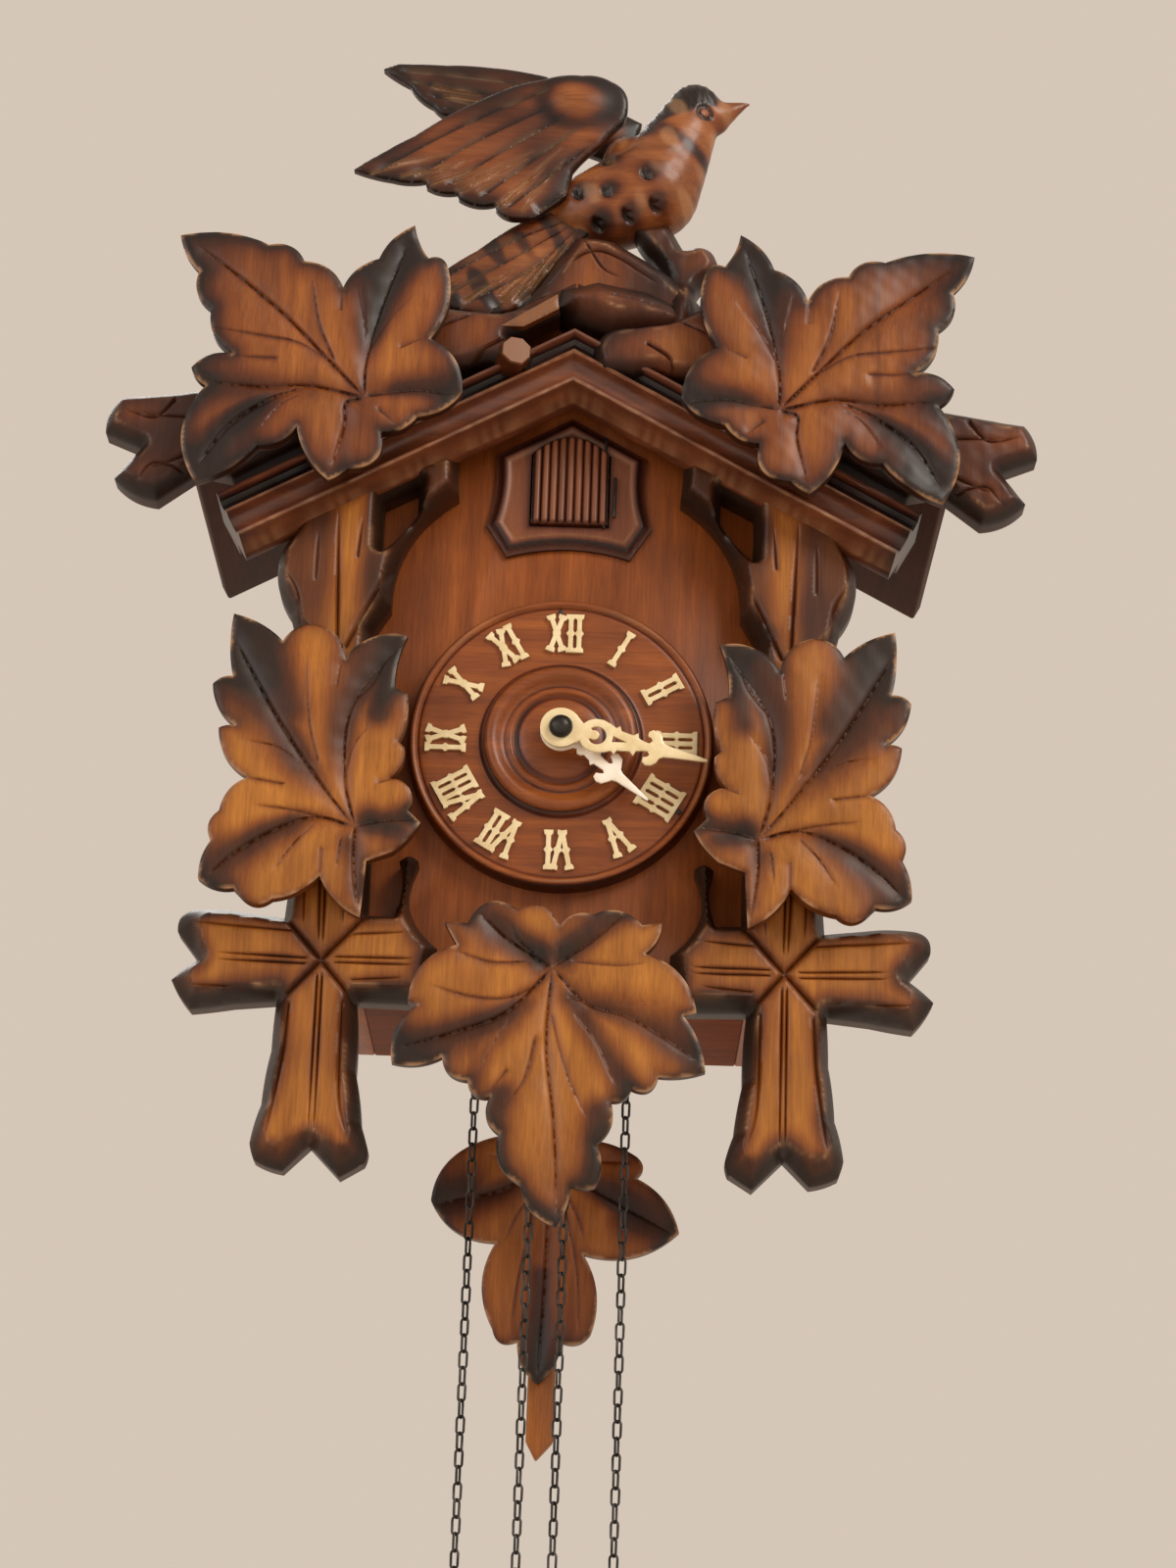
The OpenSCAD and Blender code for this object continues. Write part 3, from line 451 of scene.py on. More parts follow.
def carve(name, ring, relief, back, material, body, replaced=(), holes=(), spacing=0.95,
          flip=False, lines=(), undercut=None):
    """A carved board: its back at depth back, upright sides, and a front whose height above the back, burn
    and wear come from relief(points, edge distance). An undercut leaves a rim of that thickness."""
    rings = [np.asarray(ring)] + [np.asarray(h) for h in holes]
    low, high = rings[0].min(0), rings[0].max(0)
    xs = np.arange(low[0], high[0], spacing)
    zs = np.arange(low[1], high[1], spacing * 0.87)
    grid = np.array([(x + (spacing / 2 if j % 2 else 0), z) for j, z in enumerate(zs) for x in xs])
    if lines:
        near = np.full(len(grid), 1e9)
        for line in lines:
            near = np.minimum(near, line_distance(grid, line)[0])
        grid = np.vstack([grid[near > LINE_CLEARANCE], detail_points(lines)])
    grid = grid[inside(grid, rings[0])]
    for hole in rings[1:]:
        grid = grid[~inside(grid, hole)]
    grid = grid[edge_distance(grid, rings) > min(spacing, 0.9) * 0.55]
    points = np.vstack(rings + [grid])
    edges, start = [], 0
    for r in rings:
        n = len(r)
        edges += [(start + i, start + (i + 1) % n) for i in range(n)]
        start += n
    out = delaunay_2d_cdt([Vector(q) for q in points], edges, [], 0, 1e-5)
    flat = np.array([tuple(v) for v in out[0]])
    faces = np.array([f for f in out[2] if len(f) == 3])
    middle = flat[faces].mean(1)
    keep = inside(middle, rings[0])
    for hole in rings[1:]:
        keep &= ~inside(middle, hole)
    faces = faces[keep]
    edge = edge_distance(flat, rings)
    height, burn_and_shade, wear = relief(flat, edge)
    low_height = np.zeros(len(flat))
    if undercut is not None:
        low_height = np.clip(np.median(height) - undercut - 1.3 * edge, 0, height - 1)
    # boundary edges of the kept faces become the side walls
    count = {}
    for f in faces:
        for a, b in ((f[0], f[1]), (f[1], f[2]), (f[2], f[0])):
            key = (min(a, b), max(a, b))
            count[key] = (count.get(key, (0,))[0] + 1, a, b)
    walls = [(a, b) for n, a, b in count.values() if n == 1]
    sign = -1 if flip else 1
    verts = [at(sign * x, back + h, z) for (x, z), h in zip(flat, height)]
    burn_and_shade, wear = list(burn_and_shade), list(wear)
    lower, levels = {}, (0.66, 0.33, 0.0)
    for i in sorted({i for wall in walls for i in wall}):
        for k, share in enumerate(levels):
            x, z = flat[i]
            lower[i, k] = len(verts)
            verts.append(at(sign * x, back + low_height[i] + (height[i] - low_height[i]) * share, z))
            burn_and_shade.append(0.3 + 0.6 * burn_and_shade[i] - 0.08 * k)
            wear.append(0.0)
    side = []
    for a, b in walls:
        side.append((b, a, lower[a, 0], lower[b, 0]))
        for k in range(len(levels) - 1):
            side.append((lower[b, k], lower[a, k], lower[a, k + 1], lower[b, k + 1]))
    bottom = {i: index for (i, k), index in lower.items() if k == len(levels) - 1}
    for i in sorted(set(faces.ravel())):
        if i not in bottom:
            bottom[i] = len(verts)
            verts.append(at(sign * flat[i][0], back + low_height[i], flat[i][1]))
            burn_and_shade.append(0.3)
            wear.append(0.0)
    under = [tuple(bottom[i] for i in f[::-1]) for f in faces]
    obj = new_object(name, verts, [tuple(f) for f in faces] + side + under, material, body, replaced,
                     shades={"burn_and_shade": burn_and_shade, "wear": wear})
    split_edges(obj, 50)


def edge_distance(p, rings):
    best = np.full(len(p), 1e9)
    for ring in rings:
        a, b = ring, np.roll(ring, -1, axis=0)
        for i in range(0, len(p), 2000):
            q = p[i:i + 2000, None, :]
            d = b - a
            t = np.clip(((q - a) * d).sum(2) / np.maximum((d * d).sum(1), 1e-9), 0, 1)
            dist = np.linalg.norm(q - (a + t[..., None] * d), axis=2).min(1)
            best[i:i + 2000] = np.minimum(best[i:i + 2000], dist)
    return best


def grooves(p, lines):
    """The cut of V grooves [line, width, depth] at each point, and the nearness to any of them."""
    cut, near = np.zeros(len(p)), np.zeros(len(p))
    for line, width, depth in lines:
        d, along, _ = line_distance(p, line)
        taper = np.sqrt(np.clip(1 - along ** 3, 0, 1))
        w = width * (0.35 + 0.65 * taper)
        cut = np.maximum(cut, depth * taper * np.clip(1 - d / w, 0, 1))
        near = np.maximum(near, taper * np.exp(-d / (1.2 * w)))
    return cut, near


def knife_steps(p, lines):
    """Cuts [line, step, run]: one side stands, the other slopes down to it over that run."""
    drop, near = np.zeros(len(p)), np.zeros(len(p))
    for line, step, run in lines:
        d, along, side = line_distance(p, line)
        taper = np.sqrt(np.clip(1 - along ** 4, 0, 1)) * smooth(along * 8 + 0.25)
        slope = np.where(side > 0, np.exp(-d / run), 0.75 * np.exp(-d / 0.45))
        drop = np.maximum(drop, step * taper * slope)
        near = np.maximum(near, taper * np.where(side > 0, np.exp(-d / 1.1), np.exp(-d / 0.4)))
    return drop, near


def leaf_relief(ribs, veins, thick, seed, reach, margin, strengths, scorched=()):
    """A gently waved leaf with knife-cut ribs, shaded dark along the ribs, at the tips and at the rim."""
    def relief(p, edge):
        shade, d_rib = np.zeros(len(p)), np.full(len(p), 1e9)
        for line, strength in zip(ribs, strengths):
            d, along, side = line_distance(p, line)
            d_rib = np.minimum(d_rib, d)
            length = np.linalg.norm(np.subtract(line[-1], line[0]))
            spread_out = (2.4 + 0.2 * length * along ** 0.8) * np.where(side > 0, 1.0, 0.55)
            reached = strength * smooth((along - 0.02) / 0.42)
            shade = np.maximum(shade, reached * np.exp(-(d / spread_out) ** 2))
        for line, width, strength in scorched:
            shade = np.maximum(shade, strength * np.exp(-(line_distance(p, line)[0] / width) ** 2))
        spread = np.linalg.norm(p - np.array(ribs[0][0]), axis=1) / reach
        steps = [(line, 1.5, 3.6) for line in ribs] + [(line, 0.95, 2.6) for line in veins]
        cut, near = knife_steps(p, steps)
        h = thick * 0.93 - 1.3 * np.exp(-d_rib / 5) - 1.6 * smooth((spread - 0.55) / 0.5)
        h += 0.55 * wobble(p, 24, seed) + 0.08 * wobble(p, 4, seed + 1) - cut
        h -= 0.5 * np.exp(-edge / 0.35) + 0.5 * np.exp(-edge / 2.5)
        rim = np.exp(-edge / np.maximum(0.8, 1.5 + 2.2 * margin + 0.8 * wobble(p, 20, seed + 2)))
        patches = np.clip(0.9 + 0.22 * wobble(p, 26, seed + 4), 0.4, 1.15)
        burn_and_shade = 0.92 * shade * patches + (0.42 + 0.45 * margin) * rim
        burn_and_shade = np.maximum(burn_and_shade, 0.55 * near) + (0.2 + 0.05 * margin) * smooth((spread - 0.5) / 0.55)
        burn_and_shade += 0.3 * smooth(1 - spread * 5) + 0.06 * margin
        wear = np.exp(-edge / 0.3) * smooth(0.4 + 0.9 * wobble(p, 6, seed + 3)) * 0.85
        return np.clip(h, thick * 0.4, thick), np.clip(burn_and_shade, 0, 1), np.clip(wear, 0, 1)
    return relief


# ---- Leaves ----
LEAF_SIDE = [[-104, 33, .08], [-88, 24, .16], [-78, 30, .18], [-68, 18, .1], [-60, 26, .1], [-49, 27, -.06],
    [-52, 9, 0], [-48, 7, .08], [-50, -9, 0], [-48, -11, .12], [-52, -21, .12], [-46, -24, .16],
    [-46, -31, 0], [-42, -35, .06], [-50, -45, 0], [-58, -48, 0], [-59, -66, .1], [-72, -53, .1],
    [-86, -61, .22], [-95, -61, 0], [-98, -58, .12], [-109, -55, .08], [-106, -43, .2], [-104, -33, .14],
    [-96, -22, .14], [-106, -6, .1], [-101, -5, .12], [-109, 9, .14], [-103, 12, .05]]
LEAF_TOP = [[-129, 161, .1], [-100, 158, .2], [-88, 152, .16], [-75, 143, .12], [-64, 154, .1],
    [-53, 167, -.06], [-48, 155, .25], [-42, 153, .12], [-46, 125, .16], [-35, 107, .12], [-49, 98, .14],
    [-60, 92, .3], [-70, 79, .05], [-76, 75, .1], [-87, 93, .16], [-99, 86, .08], [-118, 73, .18],
    [-117, 107, .1], [-122, 113, .15], [-109, 118, .16], [-117, 134, .18], [-122, 148, .08]]
LEAF_LOW = [[2, -67, .18], [12, -63, .2], [27, -66, 0], [33, -65, .12], [28, -75, .16], [44, -93, 0],
    [40, -94, .08], [47, -111, .06], [33, -113, .3], [25, -117, .2], [19, -121, .18], [15, -134, .14],
    [15, -147, .1], [8, -147, .06], [4, -159, .16], [-7, -147, .2], [-14, -132, .22], [-17, -121, .24],
    [-24, -116, .2], [-32, -109, .1], [-47, -111, .16], [-40, -93, 0], [-43, -92, .18], [-29, -74, 0],
    [-33, -67, .02], [-26, -67, .3], [-11, -62, .26]]
LEAF_BOB = [[-25, -119, .12], [2, -118, .12], [28, -121, .3], [28, -128, .12], [42, -145, .14],
    [12, -153, .12], [15, -178, .2], [6, -181, .1], [-1, -194, .14], [-8, -181, .3], [-16, -177, .14],
    [-16, -150, .16], [-37, -137, .14]]

SIDE_RIBS = [[(-62, -37), (-74, -22), (-88, -2), (-103, 24)], [(-62, -37), (-66, -20), (-65, 2), (-52, 23)],
    [(-62, -37), (-74, -34), (-86, -38), (-98, -46), (-106, -54)], [(-62, -37), (-54, -35), (-44, -34)],
    [(-62, -37), (-62, -48), (-60, -62)]]
SIDE_VEINS = [[(-74, -18), (-78, -3), (-80, 17)], [(-66, -20), (-64, -11), (-59, -4)], [(-72, -34),
    (-83, -32), (-93, -31)], [(-74, -36), (-81, -44), (-86, -52)], [(-56, -23), (-50, -21)], [(-72, -44),
    (-72, -55)], [(-66, -41), (-67, -51)], [(-70, 8), (-69, 18)], [(-84, -24), (-97, -22)], [(-77, -19),
    (-87, -12), (-98, -10)], [(-64, 4), (-58, 12), (-55, 22)]]
TOP_RIBS = [[(-66, 104), (-77, 116), (-92, 132), (-108, 146), (-122, 157)], [(-66, 104), (-66, 117),
    (-62, 137), (-55, 160)], [(-66, 104), (-84, 108), (-99, 107), (-115, 108)], [(-84, 108), (-96, 103),
    (-109, 93), (-117, 80)], [(-66, 104), (-72, 102), (-72, 94), (-75, 80)], [(-66, 104), (-51, 107),
    (-38, 106)]]
TOP_VEINS = [[(-76, 116), (-82, 130), (-85, 146)], [(-68, 115), (-61, 129), (-52, 141)], [(-67, 115),
    (-67, 129), (-70, 144)], [(-78, 117), (-88, 123), (-100, 125), (-117, 127)], [(-86, 105), (-93, 100),
    (-99, 91)], [(-56, 121), (-46, 126)], [(-75, 134), (-75, 142)], [(-94, 117), (-109, 117)], [(-62, 100),
    (-56, 95)]]
LOW_RIBS = [[(0, -80), (-1, -104), (2, -128), (4, -154)], [(0, -80), (-13, -94), (-26, -100), (-44, -106)],
    [(0, -80), (11, -91), (24, -95), (44, -107)], [(0, -80), (-14, -71), (-22, -64)], [(0, -80), (11, -72),
    (21, -63)]]
LOW_VEINS = [[(-5, -86), (-13, -90), (-24, -90), (-36, -87)], [(-5, -86), (-13, -98), (-20, -112)],
    [(-4, -101), (-7, -115), (-14, -127)], [(-12, -112), (-17, -120)], [(4, -89), (18, -91), (36, -91)],
    [(7, -94), (14, -103), (20, -116)], [(0, -93), (5, -112), (12, -127)], [(-5, -76), (-10, -72),
    (-13, -66)], [(5, -77), (9, -72), (11, -66)], [(5, -78), (20, -79), (29, -78)], [(-5, -78), (-18, -79),
    (-29, -76)], [(2, -75), (2, -69)]]
TOP_STRENGTHS = (0.2, 0.95, 0.5, 1.0, 0.25, 0.8)
SIDE_SCORCHED = [([(-86, 0), (-94, 14), (-100, 27)], 10, 0.95), ([(-57, 0), (-54, 14), (-51, 23)], 5.5, 0.9),
    ([(-57, -35), (-50, -37)], 5, 0.9), ([(-63, -44), (-61, -58)], 4.5, 0.55), ([(-98, -48), (-105, -53)], 7,
    0.6)]
LOW_SCORCHED = [([(-13, -120), (-16, -134), (-11, -150), (0, -158)], 5, 0.95), ([(15, -125), (16, -136),
    (13, -147)], 5, 0.6), ([(7, -90), (17, -106), (24, -117)], 5, 0.75), ([(-8, -92), (-18, -106),
    (-21, -116)], 4.5, 0.6), ([(-4, -76), (-13, -70), (-18, -66)], 5, 0.8), ([(4, -75), (11, -69)], 5, 0.8),
    ([(36, -100), (43, -107)], 7, 0.8)]
BOB_SCORCHED = [([(-26, -134), (-37, -138)], 8, 1.0), ([(28, -140), (40, -145)], 8, 1.0), ([(-1, -160),
    (-1, -190)], 5, 0.8)]
BOB_RIBS = [[(0, -122), (0, -159), (-1, -191)], [(0, -124), (-15, -133), (-34, -138)], [(0, -124), (18, -134),
    (39, -145)], [(3, -123), (25, -123)]]
BOB_VEINS = [[(-3, -132), (-9, -140), (-13, -149)], [(-4, -137), (-8, -159), (-10, -175)], [(5, -137),
    (10, -158), (11, -177)], [(-4, -124), (-20, -122)], [(4, -131), (10, -142), (12, -150)]]


def leaf(name, points, ribs, veins, reach, material, seed, margin=0.0, flip=False, body="case",
         strengths=(1.0, 0.9, 0.85, 0.85, 0.35), scorched=()):
    """A leaf whose first rib starts at its heart, darker at its rim by the share margin."""
    back, thick = back_and_thickness(name)
    relief = leaf_relief(ribs, veins, thick, seed, reach, margin, strengths, scorched)
    carve(name + "_carved", rounded(points), relief, back, material, body, [name], flip=flip,
          spacing=1.05, lines=ribs + veins, undercut=min(4.2, thick * 0.5))


for side, flip, seed in (("left", False, 11), ("right", True, 12)):
    leaf("leaf_" + side, LEAF_SIDE, SIDE_RIBS, SIDE_VEINS, 75, GOLD, seed, 0.15, flip,
         scorched=SIDE_SCORCHED)
leaf("leaf_bottom", LEAF_LOW, LOW_RIBS, LOW_VEINS, 75, GOLD, 13, 0.35,
     strengths=(0.08, 0.9, 0.9, 0.7, 0.7), scorched=LOW_SCORCHED)
for side, flip, seed in (("left", False, 14), ("right", True, 15)):
    leaf("leaf_top_" + side, LEAF_TOP, TOP_RIBS, TOP_VEINS, 70, BROWN, seed, 1.0, flip,
         strengths=TOP_STRENGTHS)
leaf("pendulum_leaf", LEAF_BOB, BOB_RIBS, BOB_VEINS, 68, BROWN, 16, 0.15,
     body="pendulum", strengths=(0.45, 0.95, 0.95, 0.3), scorched=BOB_SCORCHED)


# ---- Side frames ----
FRAME = [[-37, 98, 0], [-36, 84, -.14], [-56, 44, 0], [-62, 34, 0], [-58, -40, 0], [-58, -60, 0],
    [-50, -60, -.1], [-49, -42, .3], [-43, -42, -.2], [-36, -70, 0], [-38, -88, 0], [-60, -87.5, .02],
    [-59, -110, .02], [-56.5, -126, .02], [-54, -134, .05], [-55, -138, 0], [-62.3, -142.5, 0],
    [-71.6, -133, 0], [-79.5, -141, .05], [-88.3, -138, .03], [-89.8, -133, .03], [-87, -121, .02],
    [-85, -104, .01], [-84.4, -88, 0], [-98, -89.4, .01], [-111, -91.4, .04], [-117.2, -82.5, .03],
    [-109.3, -75.8, 0], [-116.3, -67, .25], [-111, -59.8, .03], [-96, -60.2, 0], [-83.6, -61.6, 0],
    [-82, -40, 0], [-82, 30, .1], [-88, 40, .12], [-92, 62, 0], [-84, 78, 0]]
WINDOW = [[-60, 80, 0], [-49, 86, 0], [-49, 76, .05], [-60, 63, 0]]
FRAME_GROOVES = [[[(-72.8, -50), (-71.9, -72)], 0.6, 1.1], [[(-71, -50), (-70.6, -72)], 0.6, 1.1],
    [[(-77.6, -50), (-77, -66)], 0.7, 0.9], [[(-65, -50), (-65, -66)], 0.7, 0.9], [[(-76, -76.1),
    (-103, -75.2)], 0.6, 1.0], [[(-76, -77.9), (-103, -77.4)], 0.6, 1.0], [[(-80.5, -67.6), (-110, -65.6)],
    0.8, 1.1], [[(-84, -86.2), (-110, -85.6)], 0.8, 1.1], [[(-66, -75.5), (-42, -75.4)], 0.6, 1.0],
    [[(-66, -77.3), (-42, -77.4)], 0.6, 1.0], [[(-61, -68), (-45, -67)], 0.7, 0.9], [[(-61, -82.6),
    (-45, -81.4)], 0.7, 0.9], [[(-71.8, -82), (-71.7, -131)], 0.6, 1.2], [[(-70.3, -82), (-70, -131)], 0.6,
    1.2], [[(-80, -91), (-81, -108), (-84.6, -132)], 0.9, 1.3], [[(-63.8, -90), (-63.2, -118), (-60.4, -131)],
    0.9, 1.3], [[(-72, 30), (-74, 74)], 0.9, 1.2], [[(-67, 58), (-66, 72)], 0.8, 0.9], [[(-80, 50),
    (-80, 66)], 0.8, 0.9], [[(-45, -44), (-46, -56), (-58, -64)], 1.0, 1.2], [[(-69, 27), (-61, 45),
    (-52, 62), (-39, 78)], 1.2, 1.6], [[(-84, 36), (-86, 46), (-91, 54)], 0.9, 1.0]]
CROSS_CUTS = [[(-71, -76.5), (-83, -63)], [(-71, -76.5), (-59.5, -63.5)], [(-71, -76.5), (-82.5, -89.5)],
    [(-71, -76.5), (-59.5, -90)]]
FORKED_ENDS = [(-114, -67, 7), (-115, -87, 7), (-83, -139, 9), (-60, -140, 9)]


def frame_relief(thick, seed):
    """Round branches with split bark, crossed and notched at the corners."""
    def relief(p, edge):
        chamfer, drop = 3.4, 7.5
        ends = np.zeros(len(p))
        for x, z, r in FORKED_ENDS:
            ends = np.maximum(ends, smooth(1.3 - np.linalg.norm(p - (x, z), axis=1) / r))
        width = chamfer + 3.5 * ends
        h = thick - drop * (1 - np.clip(edge / width, 0, 1))
        cut, near = grooves(p, FRAME_GROOVES)
        cross = np.full(len(p), 1e9)
        for a, b in CROSS_CUTS:
            cross = np.minimum(cross, segment_distance(p, np.array(a, float), np.array(b, float))[0])
        valley = np.clip(1 - cross / 1.3, 0, 1) + 0.25 * np.exp(-cross / 4)
        h -= np.maximum(cut, 1.7 * valley) + 0.15 * wobble(p, 9, seed)
        burn_and_shade = 0.95 * np.exp(-(np.maximum(edge - 1.0, 0) / 5.2) ** 1.6)
        burn_and_shade = np.maximum(burn_and_shade, 0.8 * np.exp(-cross / 2.6))
        burn_and_shade = np.maximum(burn_and_shade, 0.65 * smooth((p[:, 1] + 2) / 20) * smooth(0.15 + np.abs(p[:, 0] + 70) / 11))
        burn_and_shade = np.maximum(burn_and_shade, np.maximum(0.7 * near, 0.75 * ends))
        burn_and_shade = np.maximum(burn_and_shade, 0.8 * smooth((p[:, 1] + 58) / 12) * smooth((-30 - p[:, 1]) / 12))
        burn_and_shade += 0.15 * wobble(p, 22, seed + 1)
        wear = np.exp(-np.abs(edge - width) / 0.35) * smooth(0.3 + wobble(p, 8, seed + 2)) * 0.6
        return np.clip(h, 4, thick), np.clip(burn_and_shade, 0, 1), np.clip(wear, 0, 1)
    return relief


for node, flip, seed in (("frame_left", False, 21), ("frame_right", True, 22)):
    back, thick = back_and_thickness(node)
    carve(node + "_carved", rounded(FRAME), frame_relief(thick, seed), back, GOLD, "case", [node],
          holes=[rounded(WINDOW)], flip=flip, spacing=1.05,
          lines=[groove[0] for groove in FRAME_GROOVES] + CROSS_CUTS)


# ---- Branch along the ridge ----
BRANCH_OUTER = [[60, 142, 0], [110, 113, 0], [146, 108, .1], [150, 96, 0], [138, 91, 0], [146, 80, .1],
    [132, 73, 0], [118, 84, 0], [108, 82, 0], [60, 110, 0]]
BRANCH_RIGHT = [[12.6, 138, .05], [20, 139, 0], [30, 141, 0], [42, 147, 0]] + BRANCH_OUTER + [[37, 121, .04],
    [27, 123, -.05], [20, 122, 0], [11.5, 121.8, .2], [7, 126, .1], [7, 133, .1]]
BRANCH_LEFT = [[5.5, 149.5, 0], [12.5, 146.5, 0], [24, 143, 0],
    [42, 144, 0]] + BRANCH_OUTER + [[40, 121.5, .04], [31, 124, -.06], [24, 123, 0], [15, 121.8, 0],
    [13.4, 127, 0], [15, 132, 0], [21, 133.6, 0], [17, 136, 0], [5.1, 142.6, 0]]
STEM = [[31, 141, 0], [32, 152, 0], [29.5, 166, -.1], [23, 179, .05], [18, 188, 0], [30, 190, 0],
    [35, 181, -.1], [39, 182, .2], [46, 178, .2], [44, 169, -.15], [39.5, 160, 0], [39.4, 150, 0],
    [42, 138, 0], [46, 131, 0], [37, 130, 0]]
BRANCH_GROOVES = [[[(44, 136), (60, 129), (110, 104)], 1.0, 1.2], [[(110, 100), (140, 101)], 1.0, 1.2],
    [[(112, 92), (134, 82)], 1.0, 1.2], [[(34, 140), (55, 130)], 0.8, 0.9], [[(24, 131), (31, 126),
    (33, 119)], 0.9, 1.2], [[(16, 147), (40, 138)], 0.8, 1.0], [[(128, 106), (134, 100), (144, 102)], 0.9,
    1.0], [[(124, 82), (133, 84), (138, 78)], 0.9, 1.0]]
LOG = [[-21, 149, 0], [-14, 160, 0], [-8, 170, 0], [-1, 181, .05], [12, 179.5, 0], [22, 173.5, 0],
    [31, 167.5, 0], [42, 156, 0], [42, 137, 0], [11, 140, 0], [-1, 144, 0], [-6, 149, 0]]
LOG_GROOVES = [[[(-10, 160), (6, 172), (28, 160)], 1.0, 1.2], [[(6, 158), (22, 156), (34, 150)], 0.8, 1.0],
    [[(2, 176), (8, 166), (14, 162)], 0.8, 1.0]]
STEM_GROOVES = [[[(37, 134), (36, 155), (30, 178)], 0.9, 1.4]]
LOG_FRONT = [[-7, 149, 0], [-5, 156.5, 0], [7, 159.5, 0], [22, 156, 0], [42, 148, 0], [42, 137, 0],
    [12, 139, 0], [-1, 144, 0]]
LOG_FRONT_GROOVES = [[[(12, 152), (26, 149), (38, 143)], 0.8, 1.0]]
FACET = [[-24, 136, 0], [-6, 148, 0], [-5.4, 142.8, 0], [-16.6, 136, 0]]
BRANCH_BACK, BRANCH_THICK = 105, 13
LOG_BACK, LOG_THICK = 71, 34
LOG_FRONT_BACK, LOG_FRONT_THICK = 100, 13.5
STEM_BACK, STEM_THICK = 84, 30
FACET_BACK, FACET_THICK = 115, 3.4
CUT_SIDES = 8


def bark_relief(thick, lines, seed, chamfer=3.5, drop=5.0, lowest=3.0):
    """A log worked with a knife: a chamfered edge, long grooves and uneven facets."""
    def relief(p, edge):
        h = thick - drop * (1 - np.clip(edge / chamfer, 0, 1)) ** 1.3
        cut, near = grooves(p, lines)
        h -= cut + 0.35 * (1 + wobble(p, 16, seed)) + 0.12 * wobble(p, 4, seed + 1)
        burn_and_shade = 0.75 * np.exp(-edge / 3.4) + 0.3 * wobble(p, 26, seed + 2) + 0.42
        burn_and_shade = np.maximum(burn_and_shade, 0.8 * near)
        wear = np.exp(-np.abs(edge - chamfer) / 0.3) * smooth(0.2 + wobble(p, 8, seed + 3)) * 0.6
        return np.clip(h, lowest, thick), np.clip(burn_and_shade, 0, 1), np.clip(wear, 0, 1)
    return relief


def stem_relief(p, edge):
    """The stem leans back as it rises, to pass behind the bird."""
    height, burn_and_shade, wear = bark_relief(STEM_THICK, STEM_GROOVES, 34)(p, edge)
    return np.maximum(height - 19 * smooth((p[:, 1] - 148) / 20), 3), burn_and_shade, wear


def facet_relief(p, edge):
    return FACET_THICK - 0.5 * np.exp(-edge / 0.4), np.full(len(p), 0.5), np.full(len(p), 0.28)


def branch_piece(name, outline, relief, back, cuts=(), flip=False):
    carve(name, rounded(outline), relief, back, BROWN, "case", ["roof_branch"], flip=flip,
          lines=[groove[0] for groove in cuts])


for side, flip, outline, seed in (("left", True, BRANCH_LEFT, 31), ("right", False, BRANCH_RIGHT, 32)):
    branch_piece("branch_" + side, outline, bark_relief(BRANCH_THICK, BRANCH_GROOVES, seed), BRANCH_BACK,
                 BRANCH_GROOVES, flip)
branch_piece("branch_log", LOG, bark_relief(LOG_THICK, LOG_GROOVES, 33, 6, 9), LOG_BACK, LOG_GROOVES)
branch_piece("branch_stem", STEM, stem_relief, STEM_BACK)
branch_piece("branch_log_front", LOG_FRONT, bark_relief(LOG_FRONT_THICK, LOG_FRONT_GROOVES, 35, 8, 8),
             LOG_FRONT_BACK)
branch_piece("branch_facet", FACET, facet_relief, FACET_BACK)


def cut_end(name, x, z, depth, radius, toward):
    """The sawn octagonal end of a stub, a little paler than the bark."""
    facing = Vector(toward).normalized()
    across = facing.cross(Vector((0, 0, 1))).normalized()
    up = across.cross(facing)
    verts = []
    profile = [(1.25, -9.0), (1.08, -0.9), (0.98, 0.0), (0.96, 0.02), (0.3, 0.05)]
    for share, out in profile:
        for k in range(CUT_SIDES):
            a = 2 * math.pi * (k + 0.5) / CUT_SIDES
            r = radius * share * (1 + 0.05 * math.sin(3 * k))
            offset = across * r * math.cos(a) + up * r * math.sin(a) + facing * out
            verts.append(at(x, depth, z) + offset * MM)
    bark, sawn = 2 * CUT_SIDES, (len(profile) - 2) * CUT_SIDES
    shades = {"burn_and_shade": [0.6] * bark + [0.5] * sawn, "wear": [0.0] * bark + [0.28] * sawn}
    new_object(name, verts, tube_faces(len(profile), CUT_SIDES), BROWN, "case", ["roof_branch"],
               False, shades)


cut_end("stub_end_left", -18.5, 126.5, 119.6, 4.8, (0.25, -1, 0))


# ---- Roof moulding ----
FASCIA_LOW = 109
FASCIA_SECTION = [(92, 12), (100, 12), (100, 5.6), (104.4, 5.4), (105.2, 5.9), (115.6, 7.4), (116.8, 7.7),
    (117, 8.3), (116.8, 8.9), (115.4, 9.2), (113.6, 9.8), (112.2, 11.2), (111.6, 13), (111.8, 14.8),
    (112.8, 16.1), (114.2, 16.6), (115, 17), (114.6, 17.5), (115.1, 18), (114.6, 18.5), (112.4, 18.8),
    (110.8, 20), (110.2, 21.6), (111.2, 23), (114.4, 23.3), (115, 23.8), (115, 24.6), (114.4, 25), (92, 25)]
FASCIA_LENGTH = 115


